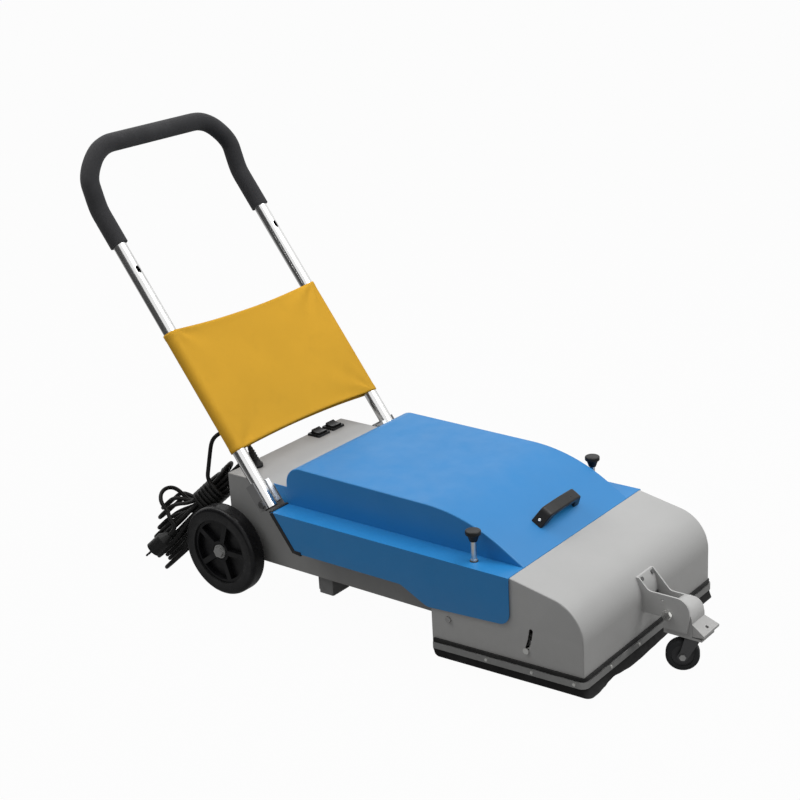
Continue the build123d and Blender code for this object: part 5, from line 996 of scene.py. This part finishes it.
class CLEANER_OT_finishes(bpy.types.Operator):
    """Enamel, plating, rubber and plastic on the machine's solids"""

    bl_idname = "cleaner.finishes"
    bl_label = "Finishes"

    def execute(self, context):
        paint = context.scene.cleaner_paint
        ripple = paint.peel * GREY_RIPPLE
        dress(enamel("hood enamel", paint.hood_blue, 0.4, paint.peel), "hood")
        dress(enamel("body enamel", paint.body_grey, 0.3, ripple), "control_deck", "head_shell")
        # The tub's enamel is the body grey with painted shade: darker for the shade on its sides,
        # not a different paint.
        grey_with_painted_shade = [c * TUB_PAINTED_SHADE for c in paint.body_grey]
        dress(enamel("tub enamel with painted shade", grey_with_painted_shade, 0.25, ripple), "body_tub")
        dark = enamel("dark enamel", (0.2, 0.2, 0.2), 0.25, paint.peel)
        dress(dark, "rail_bracket_left", "rail_bracket_right")
        light = enamel("bracket enamel", paint.bracket_grey, 0.2, paint.peel)
        dress(light, "caster_bracket", "caster_arm")
        dress(chrome("tube plating"), "handle_frame")
        tyre = rubber("tyre rubber", (0.008, 0.008, 0.009), 0.3, gleam=0.2)
        dress(tyre, "tyre_left", "tyre_right")
        dress(metal("strip steel", (0.28, 0.28, 0.275), 0.42, (0.3, 0.3, 6)), "skirt_strip")
        dress(metal("machined steel", (0.5, 0.5, 0.5), 0.34, (6, 0.4, 0.4)), *STEEL_NODES)
        for recipe, table in ((rubber, RUBBERS), (plastic, PLASTICS), (metal, METALS)):
            for name, colour, rough, nodes in table:
                dress(recipe(name, colour, rough), *nodes)
        return {"FINISHED"}


# Studio

SENSOR, CAMERA_PLACE = 36, at(-2.75007, 2.56171, 1.73976)
FLOOR_REACH = 30
SEEN_WHITE, MIRRORED_WHITE = 0.97, 0.2  # share of white on the floor
CARD_NEAR = [Vector((-1.55, -0.24, 0.002)), Vector((-0.15, 1.68, 0.002))]
CARD_FOOT = [Vector((-2.6, -0.2, 0.002)), Vector((-0.7, 2.4, 0.002))]
CARD_TALL = Vector((0, 0, 2.4))
LAMP_AIM = Vector((0, -0.1, 0.2))
LAMPS = (  # name, place, size and share of the key lamp's power
    ("key", Vector((0.8, -1.6, 3.1)), 2.6, 1.0),
    ("fill", Vector((-1.0, 1.5, 2.8)), 2.2, 0.5),
)


class CLEANER_OT_stage(bpy.types.Operator):
    """Camera at the photograph's angle, pale floor and soft light"""

    bl_idname = "cleaner.stage"
    bl_label = "Studio"

    def execute(self, context):
        stage = context.scene.cleaner_stage
        self.camera(context.scene, stage)
        self.floor()
        self.card()
        self.light(context.scene, stage)
        context.scene.view_settings.view_transform = "Standard"
        return {"FINISHED"}

    def camera(self, scene, stage):
        """A camera that stands where the photograph was taken from."""
        a, e, r = stage.azimuth, stage.elevation, stage.roll
        back = Vector((math.sin(a) * math.cos(e), -math.cos(a) * math.cos(e), math.sin(e)))
        right = Vector((math.cos(a), math.sin(a), 0))
        up = back.cross(right)
        level = right * math.cos(r) + up * math.sin(r)
        rise = up * math.cos(r) - right * math.sin(r)
        data = bpy.data.cameras.new("camera")
        data.sensor_width, data.lens = SENSOR, stage.lens
        camera = bpy.data.objects.new("camera", data)
        pose = Matrix((level, rise, back)).transposed().to_4x4()
        pose.translation = CAMERA_PLACE
        camera.matrix_world = pose
        scene.collection.objects.link(camera)
        scene.camera = camera

    def floor(self):
        """A wide pale floor that fades to white for the camera and keeps the shadow."""
        corners = ((-1, -1), (1, -1), (1, 1), (-1, 1))
        verts = [Vector((x * FLOOR_REACH, y * FLOOR_REACH, 0)) for x, y in corners]
        floor = new_mesh("floor", verts, [(0, 1, 2, 3)], False)
        made = Finish("pale floor", (0.26, 0.26, 0.26), 0.9)
        made.tint(made.ramp(made.noise(3, 4), 0.4, 0.7, 0, 0.3), (0.24, 0.24, 0.24))
        glow = made.node("ShaderNodeEmission")
        glow.inputs["Strength"].default_value = 1.0
        seen = made.node("ShaderNodeLightPath")
        glossy = made.math("MULTIPLY", seen.outputs["Is Glossy Ray"], MIRRORED_WHITE)
        share = made.math("MULTIPLY", seen.outputs["Is Camera Ray"], SEEN_WHITE)
        share = made.math("MAXIMUM", share, glossy)
        share = made.math("MAXIMUM", share, seen.outputs["Is Transmission Ray"])
        mix = made.node("ShaderNodeMixShader")
        made.link(share, mix.inputs["Fac"])
        made.link(made.shader.outputs["BSDF"], mix.inputs[1])
        made.link(glow.outputs["Emission"], mix.inputs[2])
        output = made.tree.nodes["Material Output"]
        made.link(mix.outputs["Shader"], output.inputs["Surface"])
        floor.data.materials.append(made.material)

    def card(self):
        """A dark card that only reflections see, for the dark stripe down the bright tubes."""
        head = [p + CARD_TALL for p in CARD_FOOT]
        faces = [(0, 1, 3, 2), (2, 3, 5, 4)]
        card = new_mesh("dark_card", CARD_NEAR + CARD_FOOT + head, faces, False)
        made = Finish("dark card", (0.10, 0.10, 0.10), 0.9)
        made.tint(made.noise(4, 3), (0.12, 0.12, 0.12))
        card.data.materials.append(made.material)
        card.visible_camera = card.visible_diffuse = card.visible_shadow = False

    def light(self, scene, stage):
        """Even light all round, a large key lamp overhead and a weaker fill lamp behind."""
        world = bpy.data.worlds.new("studio")
        world.use_nodes = True
        tree = world.node_tree
        plain = tree.nodes["Background"]
        plain.inputs["Color"].default_value = (1, 1, 1, 1)
        plain.inputs["Strength"].default_value = stage.ambient
        white = tree.nodes.new("ShaderNodeBackground")
        white.inputs["Color"].default_value = (1, 1, 1, 1)
        white.inputs["Strength"].default_value = 1.0
        seen = tree.nodes.new("ShaderNodeLightPath")
        share = tree.nodes.new("ShaderNodeMath")
        share.operation = "MAXIMUM"
        tree.links.new(seen.outputs["Is Camera Ray"], share.inputs[0])
        tree.links.new(seen.outputs["Is Glossy Ray"], share.inputs[1])
        mix = tree.nodes.new("ShaderNodeMixShader")
        tree.links.new(share.outputs["Value"], mix.inputs["Fac"])
        tree.links.new(plain.outputs["Background"], mix.inputs[1])
        tree.links.new(white.outputs["Background"], mix.inputs[2])
        tree.links.new(mix.outputs["Shader"], tree.nodes["World Output"].inputs["Surface"])
        scene.world = world
        for name, place, size, share in LAMPS:
            lamp = bpy.data.lights.new(name, "AREA")
            lamp.energy = stage.key * share
            lamp.size = size
            obj = bpy.data.objects.new(name, lamp)
            obj.location = place
            obj.rotation_euler = (LAMP_AIM - place).to_track_quat("-Z", "Y").to_euler()
            scene.collection.objects.link(obj)


class CLEANER_PT_panel(bpy.types.Panel):
    """Lists the machine's settings and the steps that dress it"""

    bl_idname = "CLEANER_PT_panel"
    bl_label = "Cleaning machine"
    bl_space_type = "VIEW_3D"
    bl_region_type = "UI"
    bl_category = "Cleaner"

    def draw(self, context):
        for name in GROUPS:
            group = getattr(context.scene, name)
            for key in group.__annotations__:
                self.layout.prop(group, key)
        for step in STEPS:
            self.layout.operator(step.bl_idname)


STEPS = (
    CLEANER_OT_stage,
    CLEANER_OT_cord,
    CLEANER_OT_finishes,
    CLEANER_OT_sleeve,
    CLEANER_OT_grip,
    CLEANER_OT_brush,
    CLEANER_OT_skirt,
    CLEANER_OT_trim,
)
GROUPS = {
    "cleaner_paint": CleanerPaint,
    "cleaner_soft": CleanerSoft,
    "cleaner_stage": CleanerStage,
}


def register():
    for group in GROUPS.values():
        bpy.utils.register_class(group)
    for name, group in GROUPS.items():
        setattr(bpy.types.Scene, name, PointerProperty(type=group))
    for step in STEPS:
        bpy.utils.register_class(step)
    bpy.utils.register_class(CLEANER_PT_panel)


def unregister():
    bpy.utils.unregister_class(CLEANER_PT_panel)
    for step in reversed(STEPS):
        bpy.utils.unregister_class(step)
    for name, group in GROUPS.items():
        delattr(bpy.types.Scene, name)
        bpy.utils.unregister_class(group)


def main():
    """Registers the add-on and dresses the machine."""
    register()
    bpy.ops.cleaner.stage()
    bpy.ops.cleaner.cord()
    bpy.ops.cleaner.finishes()
    bpy.ops.cleaner.sleeve()
    bpy.ops.cleaner.grip()
    bpy.ops.cleaner.brush()
    bpy.ops.cleaner.skirt()
    bpy.ops.cleaner.trim()


if __name__ == "__main__":
    main()
